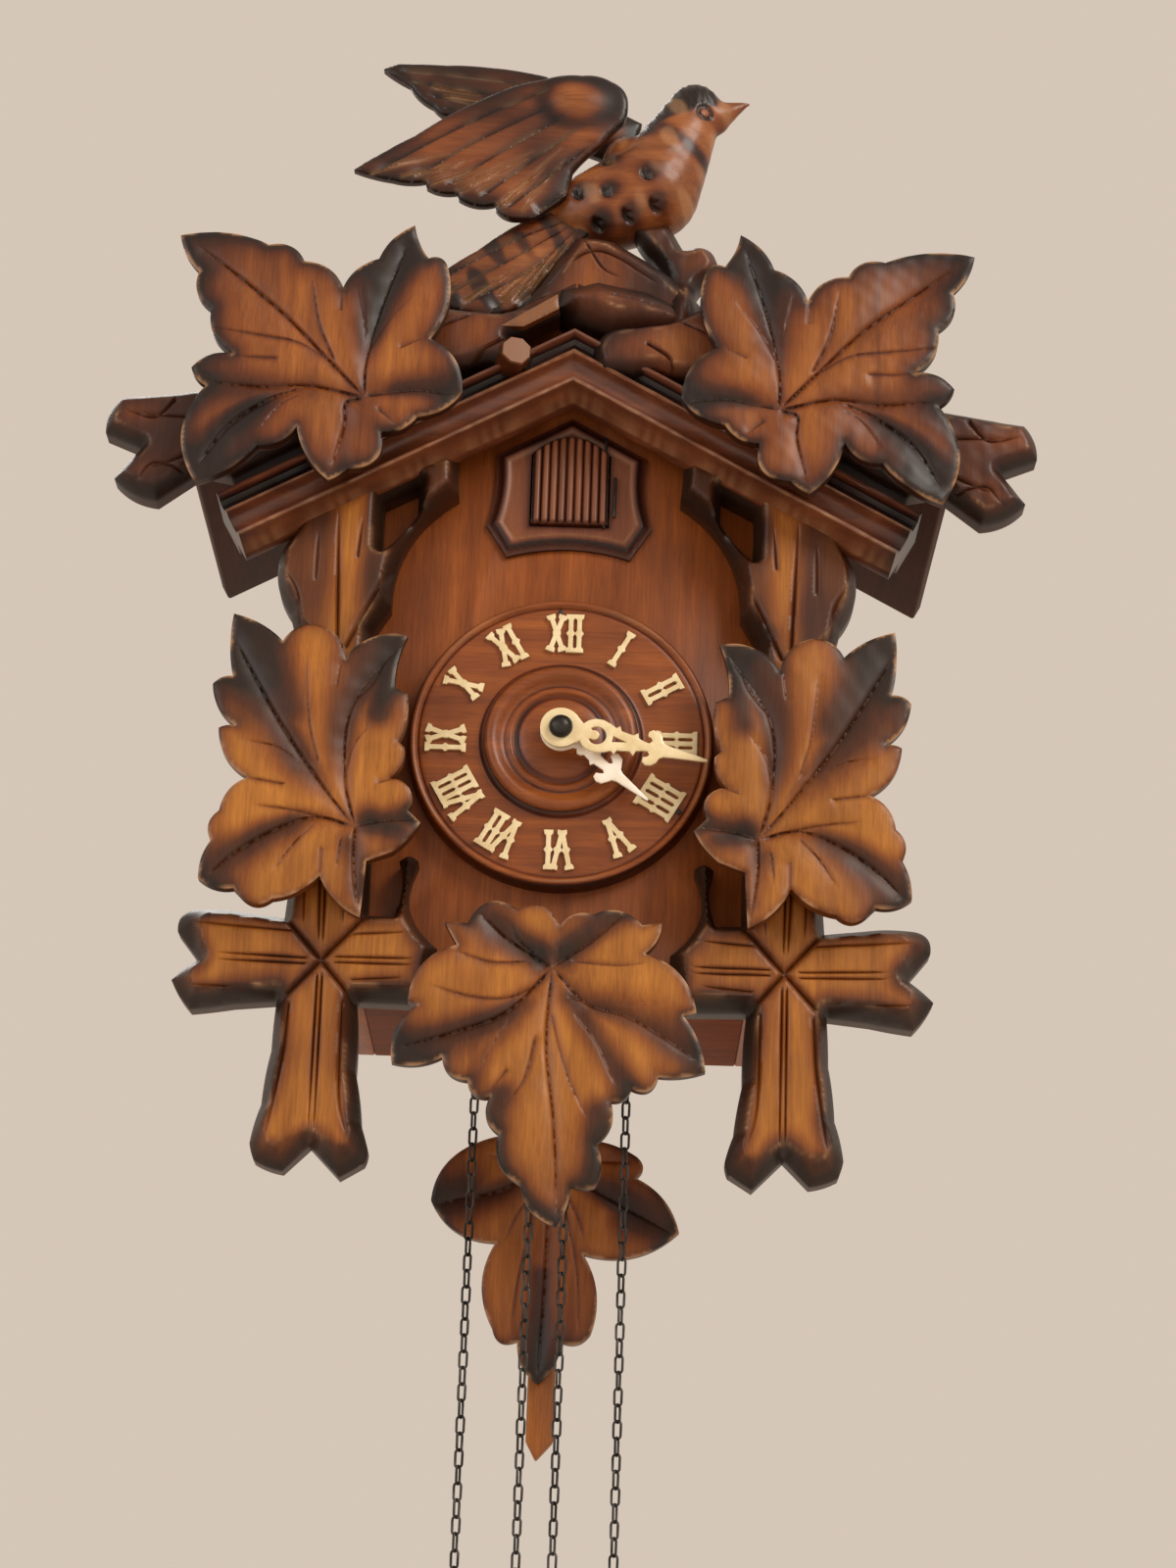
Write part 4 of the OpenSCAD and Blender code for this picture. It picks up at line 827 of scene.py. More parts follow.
def moulding(node, side):
    """One fascia: the section drawn along the roof's slope, mitred at the ridge, its upper cove darkened with
    painted shade.
    """
    steps = 60
    verts, burn_and_shade, wear = [], [], []
    cos, sin = math.cos(ROOF_SLOPE), math.sin(ROOF_SLOPE)
    for i in range(steps + 1):
        for j, (depth, h) in enumerate(FASCIA_SECTION):
            start = -h * math.tan(ROOF_SLOPE)
            s = start + (FASCIA_LENGTH - start) * i / steps
            ripple = 0.12 * math.sin(s * 0.31 + j) * math.sin(s * 0.07 + side)
            verts.append(at(side * (s * cos + h * sin), depth + ripple, FASCIA_LOW - s * sin + h * cos))
            end = math.exp(-(FASCIA_LENGTH - s) / 5)
            # Painted shade: the upper cove, set back under the top lip, is darkened as if it lay in shadow.
            painted_cove_shade = 0.85 if h > 18.6 and depth < 114 else 0.12
            burn_and_shade.append(min(1, 0.6 * end + painted_cove_shade + 0.1 * math.sin(s * 0.11 + side)))
            arris = 7.6 < h < 8.5 or 17.2 < h < 18.2 or depth == 105.2
            wear.append(0.4 * (0.6 + 0.4 * math.sin(s * 0.9 + 3 * math.sin(s * 0.23))) if arris else 0.0)
    faces = tube_faces(steps + 1, len(FASCIA_SECTION))
    split_edges(new_object(node + "_moulded", verts, faces, MOULDING, "case", [node],
                           shades={"burn_and_shade": burn_and_shade, "wear": wear}), 38)


moulding("fascia_left", -1)
moulding("fascia_right", 1)

# ---- Case ----
for node in ("case_side_left", "case_side_right", "front_board"):
    softened(node, "case", CASE, 0.7)
for node in ("roof_board_left", "roof_board_right"):
    softened(node, "case", ROOF, 0.9, 3)
softened("case_floor", "case", CASE_ACROSS, 0.5)
for node in ("back_gable_board", "back_bottom_rail"):
    softened(node, "case", BARE, 0.5)
softened("back_door", "back_door", BARE, 0.6)

# ---- Escutcheon and cuckoo door ----
ESCUTCHEON = [[0, 115, 0], [25, 101, -.06], [27, 76, 0], [20, 65, -.08], [-20, 65, 0], [-27, 76, -.06],
    [-25, 101, 0]]
DOOR_HALF, DOOR_LOW, DOOR_SPRING, DOOR_RISE = 12.4, 76, 101, 6


def door_ring(grow):
    """The door's outline, grown by so much: over the arch, down one side, along the foot and up the other."""
    half, rise, low = DOOR_HALF + grow, DOOR_RISE + grow, DOOR_LOW - grow
    arch = [(x, DOOR_SPRING + rise * (1 - (x / half) ** 2)) for x in np.linspace(-half, half, 25)]
    down = [(half, z) for z in np.linspace(DOOR_SPRING, low, 20)[1:]]
    foot = [(x, low) for x in np.linspace(half, -half, 20)[1:]]
    up = [(-half, z) for z in np.linspace(low, DOOR_SPRING, 20)[1:-1]]
    return np.array(arch + down + foot + up)


def escutcheon_relief(p, edge):
    outer = edge_distance(p, [rounded(ESCUTCHEON)])
    bead = 0.5 * smooth((outer - 2.2) / 0.6) * smooth((5 - outer) / 1.2)
    h = 3.5 - 1.6 * smooth((2.2 - outer) / 1.6) + bead - 0.5
    burn_and_shade = 0.85 * np.exp(-np.abs(outer - 2.4) / 1.1) + 0.5 * np.exp(-edge / 1.5)
    return np.clip(h, 1, 3.5), np.clip(burn_and_shade, 0, 1), 0.3 * np.exp(-np.abs(outer - 4.6) / 0.4)


def door_relief(p, edge):
    pitch, wide = 2.7, 1.25
    u = (p[:, 0] + pitch / 2) % pitch - pitch / 2
    reed = np.sqrt(np.clip(1 - (u / wide) ** 2, 0, 1))
    h = 2.6 + 1.2 * reed * smooth(edge / 0.8)
    return h, np.clip(0.75 * (1 - reed) + 0.3 * np.exp(-edge / 2), 0, 1), 0.15 * smooth(reed * 2 - 1.4)


REDWOOD = wood("door_wood", (0.13, 0.036, 0.013), (0.185, 0.054, 0.019), (0.24, 0.076, 0.028),
               (0.03, 0.01, 0.005), PALE, rough=(0.36, 0.52))
carve("escutcheon_carved", rounded(ESCUTCHEON), escutcheon_relief, BOARD_FRONT, REDWOOD, "case",
      ["escutcheon"], holes=[door_ring(0.6)], spacing=0.7)
carve("cuckoo_door_reeded", door_ring(0), door_relief, BOARD_FRONT + 2, REDWOOD, "cuckoo_door",
      ["cuckoo_door"], spacing=0.32)


# ---- Turned dial ----
DIAL_PROFILE = [(0, 10), (9, 10), (11, 9.75), (12.6, 9.3), (13.6, 8.7), (14.2, 8.1), (14.8, 7.9), (15.2, 8.2),
    (15.7, 8.75), (16.5, 8.9), (17.2, 8.5), (17.7, 8), (18.5, 8.2), (19.6, 9), (20.6, 9.8), (21.6, 10.3),
    (22.4, 10.3), (23.4, 9.9), (24, 9.3), (24.3, 8.5), (24.6, 8.2), (25.2, 8.1), (25.5, 7.4), (25.8, 6.7),
    (26.3, 6.45), (30, 6.4), (40, 6.4), (44.6, 6.4), (45.3, 6.1), (45.7, 6.5), (46.2, 7.2), (46.9, 7.5),
    (47.5, 7.3), (47.9, 6.6), (48.2, 5.8), (48.5, 5), (48.5, 0)]


def turned_dial():
    """A lathe piece: fine rings, darker in the hollows."""
    scale = DIAL_R / DIAL_PROFILE[-1][0]
    turns = 180
    verts, faces, burn_and_shade, wear = [at(0, BOARD_FRONT + DIAL_PROFILE[0][1], 0)], [], [0.1], [0.0]
    deep = {13.6, 14.2, 14.8, 17.7, 24.3, 24.6, 25.2, 25.5, 25.8, 45.3, 47.9, 48.2, 48.5}
    fine = []
    for (r0, h0), (r1, h1) in zip(DIAL_PROFILE[1:], DIAL_PROFILE[2:]):
        parts = max(1, round((r1 - r0) / 0.9))
        for k in range(parts):
            t = k / parts
            fine.append((r0 + (r1 - r0) * t, h0 + (h1 - h0) * t, 0.75 if r0 in deep else 0.08))
    fine.append((*DIAL_PROFILE[-1], 0.6))
    for r, h, dark in fine:
        for k in range(turns):
            a = 2 * math.pi * k / turns
            x, z = r * scale * math.cos(a), r * scale * math.sin(a)
            verts.append(at(x, BOARD_FRONT + h + 0.03 * math.sin(3 * a + r), z))
            burn_and_shade.append(dark * (0.8 + 0.2 * math.sin(a * 2 + r)))
            wear.append(0.25 * max(0, math.sin(5 * a + r)) if 46 < r < 47.2 else 0.0)
    for k in range(turns):
        faces.append((0, 1 + k, 1 + (k + 1) % turns))
    for i in range(len(fine) - 1):
        for k in range(turns):
            a, b = 1 + i * turns + k, 1 + i * turns + (k + 1) % turns
            faces.append((a, a + turns, b + turns, b))
    faces.append(tuple(1 + (len(fine) - 1) * turns + k for k in range(turns)))
    obj = new_object("dial_turned", verts, faces, DIAL_WOOD, "case", ["dial"],
                     shades={"burn_and_shade": burn_and_shade, "wear": wear})
    split_edges(obj, 60)


turned_dial()
softened("dial_numerals", "case", IVORY, 0.22)
softened("dial_nails", "case", BLACK, 0.15)
softened("cuckoo_door_wire", "case", BLACK, 0.08)


# ---- Hands ----
HUB = 6.5
MINUTE_HALF = [(5.6, 3.4), (6.7, 2.9), (8, 4.3), (10, 5.3), (12.5, 5.5), (15, 4.7), (17, 3.8), (18.0, 4.7),
    (18.8, 3.2), (21, 2.9), (22.8, 2.7), (24, 3.8), (24.6, 2.1), (26.4, 1.5), (28.2, 1.3), (29.0, 2.4),
    (28.4, 3.2), (27.2, 3.6), (27.2, 5.0), (28.4, 5.9), (30.2, 5.6), (31.6, 4.4), (32.2, 2.8), (33.4, 2.0),
    (36, 1.6), (40, 1.15), (44, 0.75), (47, 0.35)]
HOUR_HALF = [(5.5, 3.4), (6.6, 1.7), (7.6, 1.3), (8.6, 2.5), (9.8, 2.3), (10.6, 1.4), (13, 1.7), (14.2, 2.8),
    (14.9, 1.7), (17, 1.5), (18.6, 1.4), (19.4, 2.2), (18.4, 3.0), (17.4, 3.6), (17.6, 5.0), (19, 5.7),
    (20.8, 5.2), (21.9, 3.6), (22.7, 2.2), (24, 1.6), (28, 1.15), (32, 0.7), (35.5, 0.3)]


def hand(node, body, material, turn, half, holes):
    """A fretted hand: half its outline along its own length, mirrored, turned to its place at rest."""
    back, thick = back_and_thickness(node)
    along = np.array([math.sin(turn), math.cos(turn)])
    across = np.array([-math.cos(turn), math.sin(turn)])
    start = math.atan2(half[0][1], half[0][0])
    ring = [(HUB * math.cos(a), HUB * math.sin(a)) for a in np.linspace(start, 2 * math.pi - start, 30)]
    outline = [(u, -v) for u, v in half[1:]] + [(u, v) for u, v in half[:0:-1]] + ring[1:-1]

    def turned(points):
        return [tuple(along * u + across * v) for u, v in points]

    carve(node + "_fretted", turned(outline),
          lambda p, edge: (thick - 0.25 * np.exp(-edge / 0.25), np.zeros(len(p)), np.zeros(len(p))),
          back, material, body, [node], holes=[turned(hole) for hole in holes], spacing=0.6)


def crescent(u, outer, inner, shift):
    """A C-shaped opening that faces the hub."""
    out = [(u + outer * math.cos(a), outer * math.sin(a)) for a in np.linspace(-2.5, 2.5, 22)]
    back = [(u - shift + inner * math.cos(a), inner * math.sin(a)) for a in np.linspace(2.1, -2.1, 14)]
    return out + back


hand("minute_hand", "minute", IVORY, math.radians(102), MINUTE_HALF,
     [crescent(11.6, 3.0, 1.5, 0.8), [(16.6, 1.1), (21.4, 0), (16.6, -1.1)]])
hand("hour_hand", "hour", IVORY_PALE, math.radians(128.5), HOUR_HALF, [])
softened("hand_nut", "minute", BLACK, 0.25)
softened("pendulum_rod", "pendulum", BROWN, 0.8, 3)


# ---- Chains ----
LINK_PITCH, LINK_LONG, LINK_WIDE, WIRE_R = 5.0, 6.4, 3.4, 0.42


def link_loop(n=20):
    """Centreline of one oval link in its own plane."""
    half, r = (LINK_LONG - LINK_WIDE) / 2, LINK_WIDE / 2 - WIRE_R
    loop = []
    for k in range(n):
        a = 2 * math.pi * k / n
        shift = half if math.sin(a) >= 0 else -half
        loop.append((r * math.cos(a), r * math.sin(a) + shift))
    return loop


def chain(node):
    """One strand: oval links hooked through each other, every other one turned a quarter."""
    x, depth = axis_of(node)
    bottom, top = heights(node)
    count = round((top - bottom - (LINK_LONG - LINK_PITCH)) / LINK_PITCH)
    pitch = (top - bottom - LINK_LONG) / (count - 1)
    verts, faces = [], []
    loop, sides = link_loop(), 8
    for i in range(count):
        z0 = top - LINK_LONG / 2 - i * pitch
        turn = (math.pi / 2 if i % 2 else 0) + 0.5 + 0.12 * math.sin(i * 1.7 + x)
        start, n = len(verts), len(loop)
        for k, (u, v) in enumerate(loop):
            u2, v2 = loop[(k + 1) % n]
            u0, v0 = loop[k - 1]
            tangent = Vector((u2 - u0, v2 - v0)).normalized()
            for j in range(sides):
                a = 2 * math.pi * j / sides
                out = WIRE_R * math.cos(a)
                up, across = v - tangent.x * out, u + tangent.y * out
                side = WIRE_R * math.sin(a)
                verts.append(at(x + across * math.cos(turn) - side * math.sin(turn),
                                depth + across * math.sin(turn) + side * math.cos(turn), z0 + up))
        faces += loop_faces(n, sides, start)
    strand = new_object(node + "_links", verts, faces, BLACK, "case", [node])


# ---- Rings and cone weights ----
WEIGHT_HEIGHT, SCALE_ROWS, SCALES_ROUND = 92, 13, 9
END_RING_R, WEIGHT_RING_R, LONG_LINK_R, RING_WIRE_R = 3.8, 2.6, 2.2, 0.7
WEIGHT_RING_Z = heights("weight_time")[0] + WEIGHT_HEIGHT + 1.8
CHAIN_DEPTH = axis_of("chain_time_load")[1]
CHAIN_END = heights("chain_time_load")[0] - 0.5


def weight(node):
    """A fir cone: a swelling body with rows of overlapping scales, hung by a ring."""
    x, depth = axis_of(node)
    bottom, radius = heights(node)[0], (level(node, 0, 1) - level(node, 0, 0)) / 2
    rings, turns = 150, 120
    verts = []
    for i in range(rings + 1):
        t = i / rings
        swell = math.sin(math.pi * min(1, t * 1.02) ** 0.62) ** 0.75 if 0 < t < 1 else 0
        r0 = radius * (0.12 + 0.86 * swell) * (1 if t < 0.97 else (1 - t) / 0.03)
        for k in range(turns):
            a = 2 * math.pi * k / turns
            row = t * SCALE_ROWS
            u = (a / (2 * math.pi) * SCALES_ROUND + (0.5 if int(row) % 2 else 0)) % 1
            v = row % 1
            scale = max(0, 1 - abs(u - 0.5) * 2 - 0.55 * v) * (1 - 0.4 * v)
            r = r0 * (0.9 + 0.1 * smooth(scale * 1.6))
            verts.append(at(x + r * math.cos(a), depth + r * math.sin(a), bottom + t * WEIGHT_HEIGHT))
    new_object(node + "_cone", verts, tube_faces(rings + 1, turns), IRON, "case", [node])
    wire_ring(node + "_ring", x, WEIGHT_RING_Z, WEIGHT_RING_R)


def wire_ring(name, x, z, radius, replaced=(), straight=0.0):
    """A round ring facing the viewer, or, with straight sides, a long link turned edge on."""
    verts, around, sides = [], 40, 12
    for k in range(around):
        a = 2 * math.pi * k / around
        for j in range(sides):
            b = 2 * math.pi * j / sides
            r = radius + RING_WIRE_R * math.cos(b)
            up = r * math.sin(a) + math.copysign(straight / 2, math.sin(a))
            across = (r * math.cos(a), RING_WIRE_R * math.sin(b))
            if straight:
                across = (-across[1], across[0])
            verts.append(at(x + across[0], CHAIN_DEPTH + across[1], z + up))
    return new_object(name, verts, loop_faces(around, sides), BLACK, "case", replaced)


# The long link at the end of a loaded strand reaches down through the ring of the weight.
rings = {}
for node in ("chain_time_load", "chain_time_free", "chain_strike_free", "chain_strike_load"):
    loaded = node.endswith("load")
    radius = LONG_LINK_R if loaded else END_RING_R
    straight = CHAIN_END - (WEIGHT_RING_Z + 1.2) - 2 * radius if loaded else 0.0
    rings[node] = wire_ring(node + "_ring", axis_of(node)[0], CHAIN_END - radius - straight / 2, radius,
                            ["chain_end_fittings"], straight)
for node, ring in rings.items():
    chain(node)
weight("weight_time")
weight("weight_strike")


# ---- Bird ----
BIRD_DEPTH = 85
BIRD_SPINE = [(-8, 196, 6), (3, 198, 12.8), (11, 199.4, 16), (23, 205.6, 17.4), (29, 217, 14.2),
    (34, 228, 11.6), (38, 238, 9.3)]
SHOULDER = (16.5, 216.5, 9.8)
BEAK = [(39, 237, 8.8), (44, 235.2, 6.6), (48, 236.9, 4.2), (51.5, 238.8, 2.7), (54.4, 240.4, 1.7),
    (56.4, 241, 0.9)]
BIRD_EYE, EYE_R = (41.4, 232.8), 2.3
CRESCENT_R = 2.6
CRESCENTS = [(9.5, 212.3), (23.3, 205.2), (0.2, 199.2), (9.9, 198.8), (26.3, 195.4), (17.3, 191.6),
    (7.2, 189)]
BIRD_WOOD = wood("bird_wood", (0.2, 0.062, 0.015), (0.32, 0.105, 0.026), (0.44, 0.165, 0.045), DARKEST_BURN_AND_SHADE, PALE,
                 along="x", rough=(0.3, 0.48))


def ball(bm, x, z, r, squeeze=0.88):
    place = Matrix.Translation(at(x, BIRD_DEPTH, z)) @ Matrix.Diagonal((1, squeeze, 1, 1))
    bmesh.ops.create_icosphere(bm, subdivisions=3, radius=r * MM, matrix=place)


def bird_body():
    """Body, head and beak as one skin, then cut with gouge marks and shaded."""
    bm = bmesh.new()
    for line, steps in ((BIRD_SPINE, 5), (BEAK, 4)):
        for (x0, z0, r0), (x1, z1, r1) in zip(line, line[1:]):
            for k in range(steps + 1):
                t = k / steps
                ball(bm, x0 + (x1 - x0) * t, z0 + (z1 - z0) * t, r0 + (r1 - r0) * t)
    ball(bm, *SHOULDER)
    mesh = bpy.data.meshes.new("bird_body")
    bm.to_mesh(mesh)
    bm.free()
    obj = link_object("bird_body", mesh)
    skin = obj.modifiers.new("skin", "REMESH")
    skin.mode = "VOXEL"
    skin.voxel_size = 0.75 * MM
    even = obj.modifiers.new("even", "SMOOTH")
    even.iterations = 12
    even.factor = 0.5
    done = bpy.data.meshes.new_from_object(obj.evaluated_get(bpy.context.evaluated_depsgraph_get()))
    obj.modifiers.clear()
    obj.data = done
    count = len(done.vertices)
    co = np.empty(count * 3)
    done.vertices.foreach_get("co", co)
    co = co.reshape(-1, 3)
    normal = np.array([v.normal[:] for v in done.vertices])
    p = np.stack([co[:, 0], co[:, 2]], 1) / MM - (0, DIAL_Z)
    front = smooth(-normal[:, 1] * 2.5)
    cut, burn_and_shade = np.zeros(count), np.zeros(count)
    for x, z in CRESCENTS:
        d = p - (x, z)
        r = np.linalg.norm(d, axis=1)
        angle = np.arctan2(d[:, 1], d[:, 0])
        facing = smooth(1.3 - np.abs((angle + 2.45 + math.pi) % (2 * math.pi) - math.pi) / 1.1)
        gouge = 2.0 * np.exp(-((r - CRESCENT_R) / 0.7) ** 2) + 1.3 * smooth((CRESCENT_R - r) / CRESCENT_R)
        cut = np.maximum(cut, facing * gouge)
        shade = 0.7 * np.exp(-(r / 4.2) ** 2) + 0.3 * facing * np.exp(-((r - CRESCENT_R) / 0.9) ** 2)
        burn_and_shade = np.maximum(burn_and_shade, shade)
    eye = np.linalg.norm(p - BIRD_EYE, axis=1)
    side = smooth(np.abs(normal[:, 1]) * 2.5)
    eye_cut = 0.9 * np.exp(-((eye - EYE_R) / 0.5) ** 2) - 0.4 * smooth(1 - eye / 2)
    cut = np.maximum(cut * front, side * eye_cut)
    burn_and_shade = np.maximum(burn_and_shade * front, side * 0.9 * np.exp(-((eye - EYE_R) / 0.6) ** 2))
    # dark cap and nape, orange throat
    cap = smooth((p[:, 1] - (235 + 0.43 * (p[:, 0] - 41))) / 3 + 0.5) * smooth((p[:, 0] - 12) / 6)
    cap *= smooth((47.5 - p[:, 0]) / 3)
    nape = smooth((30 - p[:, 0]) / 8) * smooth((p[:, 1] - 219) / 7)
    collar = np.exp(-((p[:, 1] - (246 - 0.75 * p[:, 0])) / 3) ** 2) * smooth((p[:, 0] - 16) / 8) * 0.6
    feathers = np.clip(cap + nape, 0, 1)
    burn_and_shade = np.maximum(burn_and_shade, feathers * (0.88 + 0.12 * wobble(p, 4, 41)))
    burn_and_shade = np.maximum(burn_and_shade, collar) + 0.12 * wobble(p, 9, 42) + 0.2
    stroke = np.sin((p[:, 0] + p[:, 1] * 0.35) * 2.6) * np.sin(p[:, 1] * 0.9 + p[:, 0] * 0.3)
    cut = cut + 0.22 * feathers * stroke + 0.1 * wobble(p, 3.5, 43)
    co -= normal * cut[:, None] * MM
    done.vertices.foreach_set("co", co.ravel())
    wear = 0.35 * smooth(wobble(p, 6, 44) * 1.5 - 0.6)
    set_shades(done, {"burn_and_shade": np.clip(burn_and_shade, 0, 1), "wear": wear})
    dress(obj, BIRD_WOOD, "case", ["top_bird"])


def feather_relief(thick, quills, barbs, knob, seed, bars=False, dark=0.4):
    """A wing or tail: feathers that step over one another, with short scratches near their ends."""
    def relief(p, edge):
        body = 1 - smooth(np.linalg.norm((p - knob[:2]) / (knob[2], knob[2] * 0.85), axis=1))
        drop, near_step = knife_steps(p, [(line[::-1], 1.5, 4.5) for line in quills])
        fine, near = grooves(p, barbs)
        ring = np.exp(-((np.linalg.norm((p - knob[:2]) / (1, 0.8), axis=1) - knob[2] * 0.85) / 3.5) ** 2)
        h = thick * (0.74 + 0.26 * body) - 0.6 * np.exp(-edge / 0.4) - 0.8 * np.exp(-edge / 3)
        h -= drop * (1 - body) + fine + 0.15 * wobble(p, 10, seed + 2)
        burn_and_shade = 0.55 * np.exp(-edge / 2.8) + 0.6 * near_step * (1 - body) + 0.2 * wobble(p, 14, seed) + dark
        burn_and_shade += 0.5 * ring - 0.25 * body
        if bars:
            along = p[:, 0] * 0.83 + p[:, 1] * 0.56
            burn_and_shade += 0.5 * smooth(np.sin(along * 0.6) * 0.8 + 0.9 * wobble(p, 8, seed + 5)) - 0.12
        crest = near_step * smooth(0.3 + wobble(p, 9, seed + 1)) * (1 - body)
        wear = np.clip(0.45 * near + 0.3 * crest, 0, 1)
        return np.clip(h, 1.5, thick), np.clip(burn_and_shade, 0, 1), wear
    return relief


def scratches(start, ends, count, seed, length=9):
    """Short parallel cuts that run along the feathers near their ends."""
    rng = np.random.default_rng(seed)
    out = []
    for _ in range(count):
        a, b = (np.array(ends[i], float) for i in sorted(rng.choice(len(ends), 2, replace=False)))
        tip = a + (b - a) * rng.random()
        way = np.array(start, float) - tip
        way /= np.linalg.norm(way)
        first = tip + way * rng.uniform(0.5, 12)
        out.append([[tuple(first), tuple(first + way * length * rng.uniform(0.5, 1.5))], 0.4, 0.55])
    return out


WING_NEAR = [[-77, 205, .02], [-57, 219, .03], [-28, 237.5, .03], [-13, 242.5, .06], [-1, 244, .1],
    [9, 242, .16], [15, 233, .06], [13.5, 226, -.04], [6, 217, -.04], [-3, 207, 0], [-5, 197, 0],
    [-15, 189, .06], [-21, 188, .14], [-28.5, 191.5, 0], [-29, 193.3, .12], [-41, 195, 0], [-42, 197.3, .1],
    [-52, 199, 0], [-53, 201.3, .06], [-64, 201.6, .03]]
WING_FAR = [[-71, 259, .02], [-66, 261.3, .02], [-49, 261.5, .02], [-33, 261, .02], [-14, 258, 0],
    [20, 240, 0], [16, 222, 0], [-20, 236, 0], [-50, 241.5, .05], [-53, 244.5, .08], [-61.5, 252.7, .03]]
TAIL = [[-53, 162, .1], [-50.5, 166.6, .02], [-34.5, 179, .02], [-19.5, 190.5, .03], [-12, 194, 0],
    [4, 197, 0], [6, 188, 0], [-1, 183, 0], [-9, 172, 0], [-14.5, 164.3, .08], [-22, 156.6, .1],
    [-31.5, 154.7, .06], [-40, 156, .05], [-48, 158.4, .06]]
NEAR_TIPS = [(-76, 205), (-64, 202), (-53, 201), (-42, 197), (-29, 193), (-21, 188)]
FAR_TIPS = [(-68, 259), (-55, 248), (-30, 240)]
TAIL_TIPS = [(-52, 163), (-44, 158), (-36, 156), (-24, 157), (-14, 165)]
NEAR_QUILLS = [[(-12, 238), (-42, 222), (-70, 204)], [(-8, 233), (-34, 218), (-57, 202)], [(-4, 229),
    (-26, 214), (-46, 199)], [(0, 224), (-18, 209), (-34, 195)], [(4, 218), (-10, 205), (-25, 191)],
    [(7, 210), (-5, 199), (-15, 190)]]
FAR_QUILLS = [[(-8, 252), (-40, 256), (-66, 258)], [(-6, 247), (-35, 250), (-62, 254)], [(-4, 243),
    (-30, 244), (-56, 249)], [(-2, 238), (-30, 240), (-50, 244)]]
TAIL_QUILLS = [[(0, 193), (-25, 181), (-51, 164)], [(0, 191), (-22, 176), (-47, 159)], [(0, 189), (-16, 172),
    (-39, 157)], [(0, 186), (-12, 171), (-29, 156)], [(0, 184), (-10, 169), (-20, 158)]]


def feathered(name, outline, quills, barbs, knob, thick, depth, seed, **shading):
    relief = feather_relief(thick, quills, barbs, knob, seed, **shading)
    carve(name, rounded(outline), relief, depth, BIRD_WOOD, "case", ["top_bird"],
          spacing=0.85, lines=quills + [barb[0] for barb in barbs], undercut=3.5)


bird_body()
feathered("bird_wing_near", WING_NEAR, NEAR_QUILLS, scratches((4, 226), NEAR_TIPS, 30, 51, 16), (-2, 234, 14),
          8, 91, 52)
feathered("bird_wing_far", WING_FAR, FAR_QUILLS, scratches((0, 242), FAR_TIPS, 8, 53, 12), (8, 236, 12),
          6, 69, 54, dark=0.62)
feathered("bird_tail", TAIL, TAIL_QUILLS, scratches((2, 192), TAIL_TIPS, 30, 55, 13), (4, 192, 8), 8, 85, 56,
          bars=True, dark=0.34)


# ---- Movement and what sits inside ----
def finish_nodes(names, material):
    """Give a finish to CAD nodes that keep their own shape."""
    for name in names.split():
        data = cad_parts[name].data
        data.materials.clear()
        data.materials.append(material)


finish_nodes("front_plate back_plate plate_pillars", BRASS)
finish_nodes("hour_wheel motion_wheel time_wheel strike_wheel escape_wheel", BRASS)
finish_nodes("back_hinge_pins cuckoo_bar centre_arbor anchor pendulum_leader gong_coil gong_hammer", STEEL)
finish_nodes("gong_block cuckoo_guide whistle_boxes bellows_lid_left bellows_lid_right", BARE)
finish_nodes("cuckoo", BIRD_PAINT)


def bellows(side, lid):
    """Pleated leather between a whistle box and its lid."""
    inset = 1.0
    x0, x1 = level(lid, 0, 0) + inset, level(lid, 0, 1) - inset
    d0, d1 = -level("bellows_cloths", 1, 1), -level("bellows_cloths", 1, 0)
    z0, z1 = heights("bellows_cloths")
    corner = [(x0, d0), (x1, d0), (x1, d1), (x0, d1)]
    ring = []
    for (xa, da), (xb, db) in zip(corner, corner[1:] + corner[:1]):
        ring += [(xa + (xb - xa) * k / 12, da + (db - da) * k / 12) for k in range(12)]
    middle = np.array([(x0 + x1) / 2, (d0 + d1) / 2])
    verts, levels = [], 37
    for i in range(levels):
        t = i / (levels - 1)
        tuck = 1.3 * (0.5 - 0.5 * math.cos(2 * math.pi * 3 * t))
        for x, d in ring:
            q = np.array([x, d]) - middle
            q -= np.sign(q) * np.minimum(np.abs(q), tuck) * (np.abs(q) > 0.6 * np.abs(q).max())
            verts.append(at(middle[0] + q[0], middle[1] + q[1], z0 + (z1 - z0) * t))
    cloth = new_object("bellows_cloth_" + side, verts, tube_faces(levels, len(ring)), CLOTH, None,
                       ["bellows_cloths"])
    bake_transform(cloth)


bellows("left", "bellows_lid_left")
bellows("right", "bellows_lid_right")


# ---- Camera, light and floor ----
CAMERA_PLACE = (16.83, 1058.46, -355.2)
PITCH, YAW, ROLL = math.radians(19.56), math.radians(-0.47), math.radians(1.88)
SENSOR, FOCAL_SHARE = 24.0, 3303 / 1600


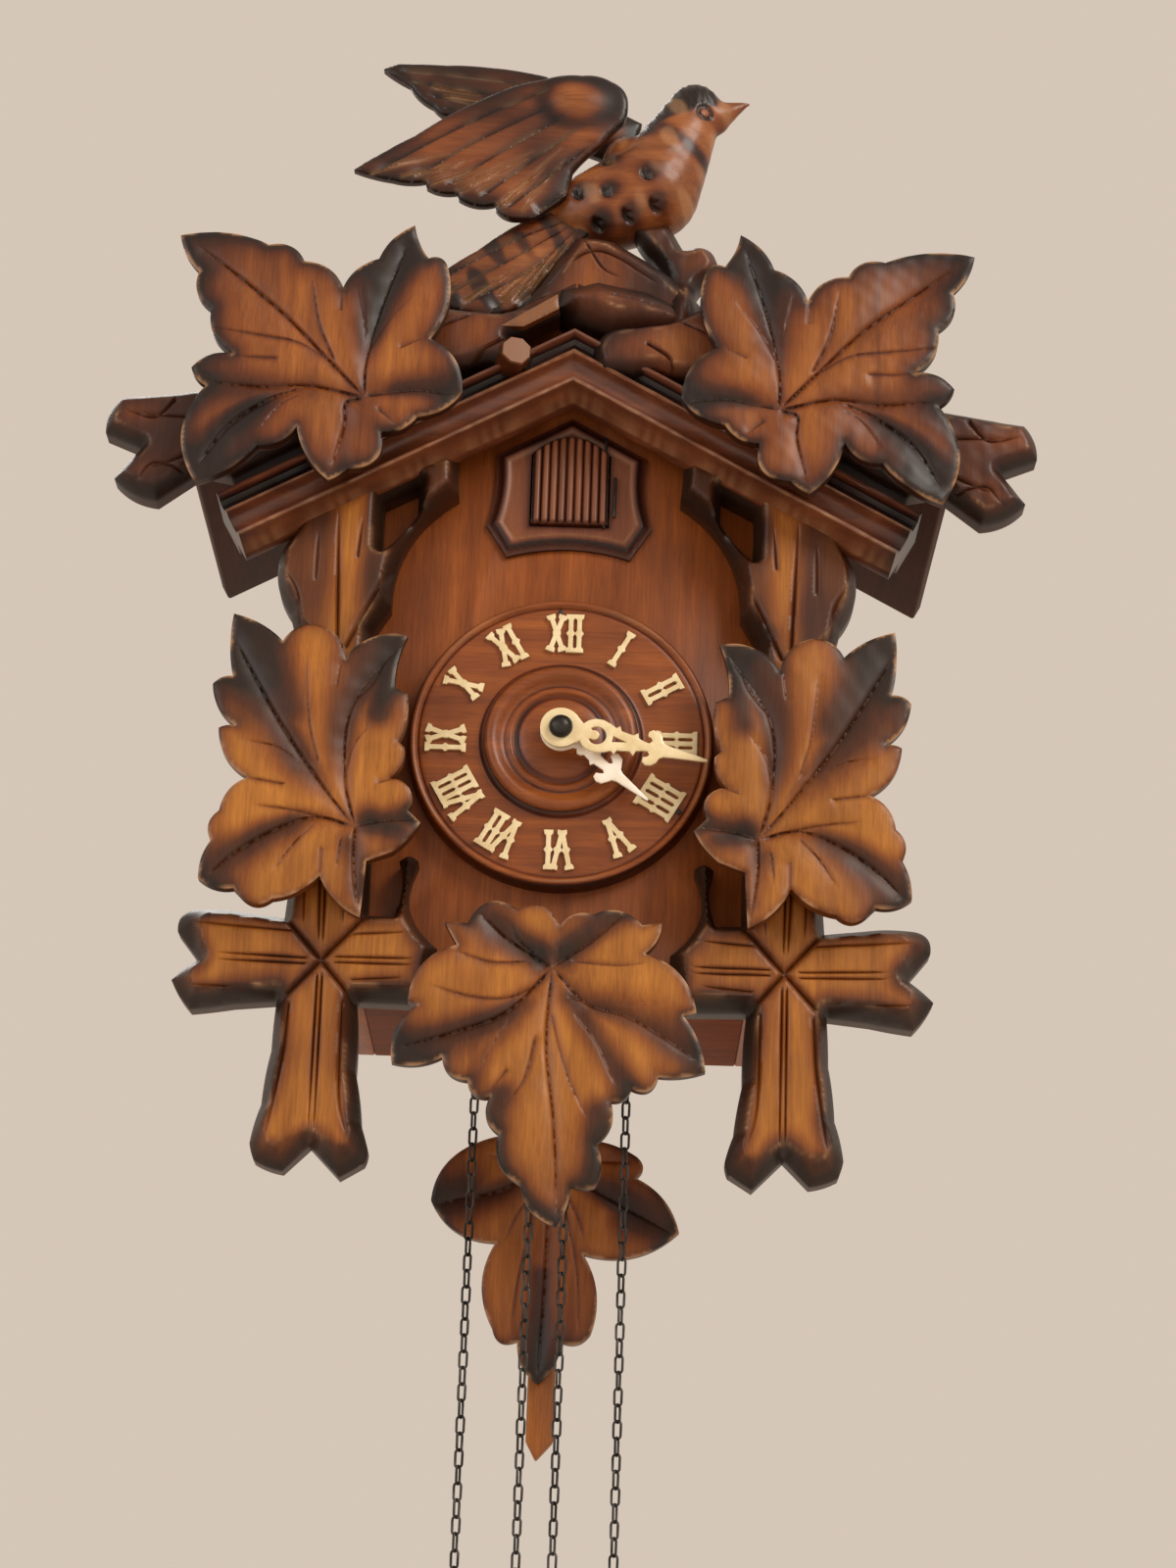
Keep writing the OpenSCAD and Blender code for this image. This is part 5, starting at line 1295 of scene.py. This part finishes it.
def add_camera():
    data = bpy.data.cameras.new("camera")
    data.sensor_fit = "VERTICAL"
    data.sensor_height = SENSOR
    data.lens = SENSOR * FOCAL_SHARE
    data.clip_start = 0.05
    camera = link_object("camera", data)
    ahead = Vector((math.sin(YAW) * math.cos(PITCH), math.cos(YAW) * math.cos(PITCH), math.sin(PITCH)))
    level_right = Vector((math.cos(YAW), -math.sin(YAW), 0))
    level_up = level_right.cross(ahead)
    right = math.cos(ROLL) * level_right + math.sin(ROLL) * level_up
    up = -math.sin(ROLL) * level_right + math.cos(ROLL) * level_up
    turn = Matrix((right, up, -ahead)).transposed().to_4x4()
    camera.matrix_world = Matrix.Translation(at(*CAMERA_PLACE)) @ turn
    bpy.context.scene.camera = camera


def add_light(name, place, target, size, power, color):
    data = bpy.data.lights.new(name, "AREA")
    data.shape = "DISK"
    data.size = size
    data.energy = power
    data.color = color
    lamp = link_object(name, data)
    lamp.location = place
    lamp.rotation_euler = (Vector(target) - Vector(place)).to_track_quat("-Z", "Y").to_euler()


def add_floor():
    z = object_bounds()[0].z - 0.02
    half = 2.2
    mesh = bpy.data.meshes.new("floor")
    corners = [(-half, -half, z), (half, -half, z), (half, half, z), (-half, half, z)]
    mesh.from_pydata(corners, [], [(0, 1, 2, 3)])
    floor = link_object("floor", mesh)
    material, _, _, shader = tree("pale_floor")
    shader.inputs["Base Color"].default_value = (0.66, 0.6, 0.54, 1)
    shader.inputs["Roughness"].default_value = 0.9
    mesh.materials.append(material)


def add_world():
    world = bpy.data.worlds.new("room")
    bpy.context.scene.world = world
    world.use_nodes = True
    background = world.node_tree.nodes["Background"]
    background.inputs["Color"].default_value = (0.74, 0.63, 0.53, 1)
    background.inputs["Strength"].default_value = 0.9


bpy.context.scene.view_settings.view_transform = "Standard"
add_camera()
add_world()
add_floor()
centre = tuple(at(0, 60, 20))
add_light("key", (1.5, -1.7, 1.3), centre, 1.1, 42, (1.0, 0.95, 0.88))
add_light("fill", (-1.7, -1.5, 0.4), centre, 1.4, 12, (0.95, 0.97, 1.0))
add_light("low", (0.4, -1.4, -0.9), centre, 1.4, 7, (1.0, 0.95, 0.9))
add_light("back", (-0.6, 1.5, 1.3), centre, 1.2, 14, (1.0, 0.98, 0.95))
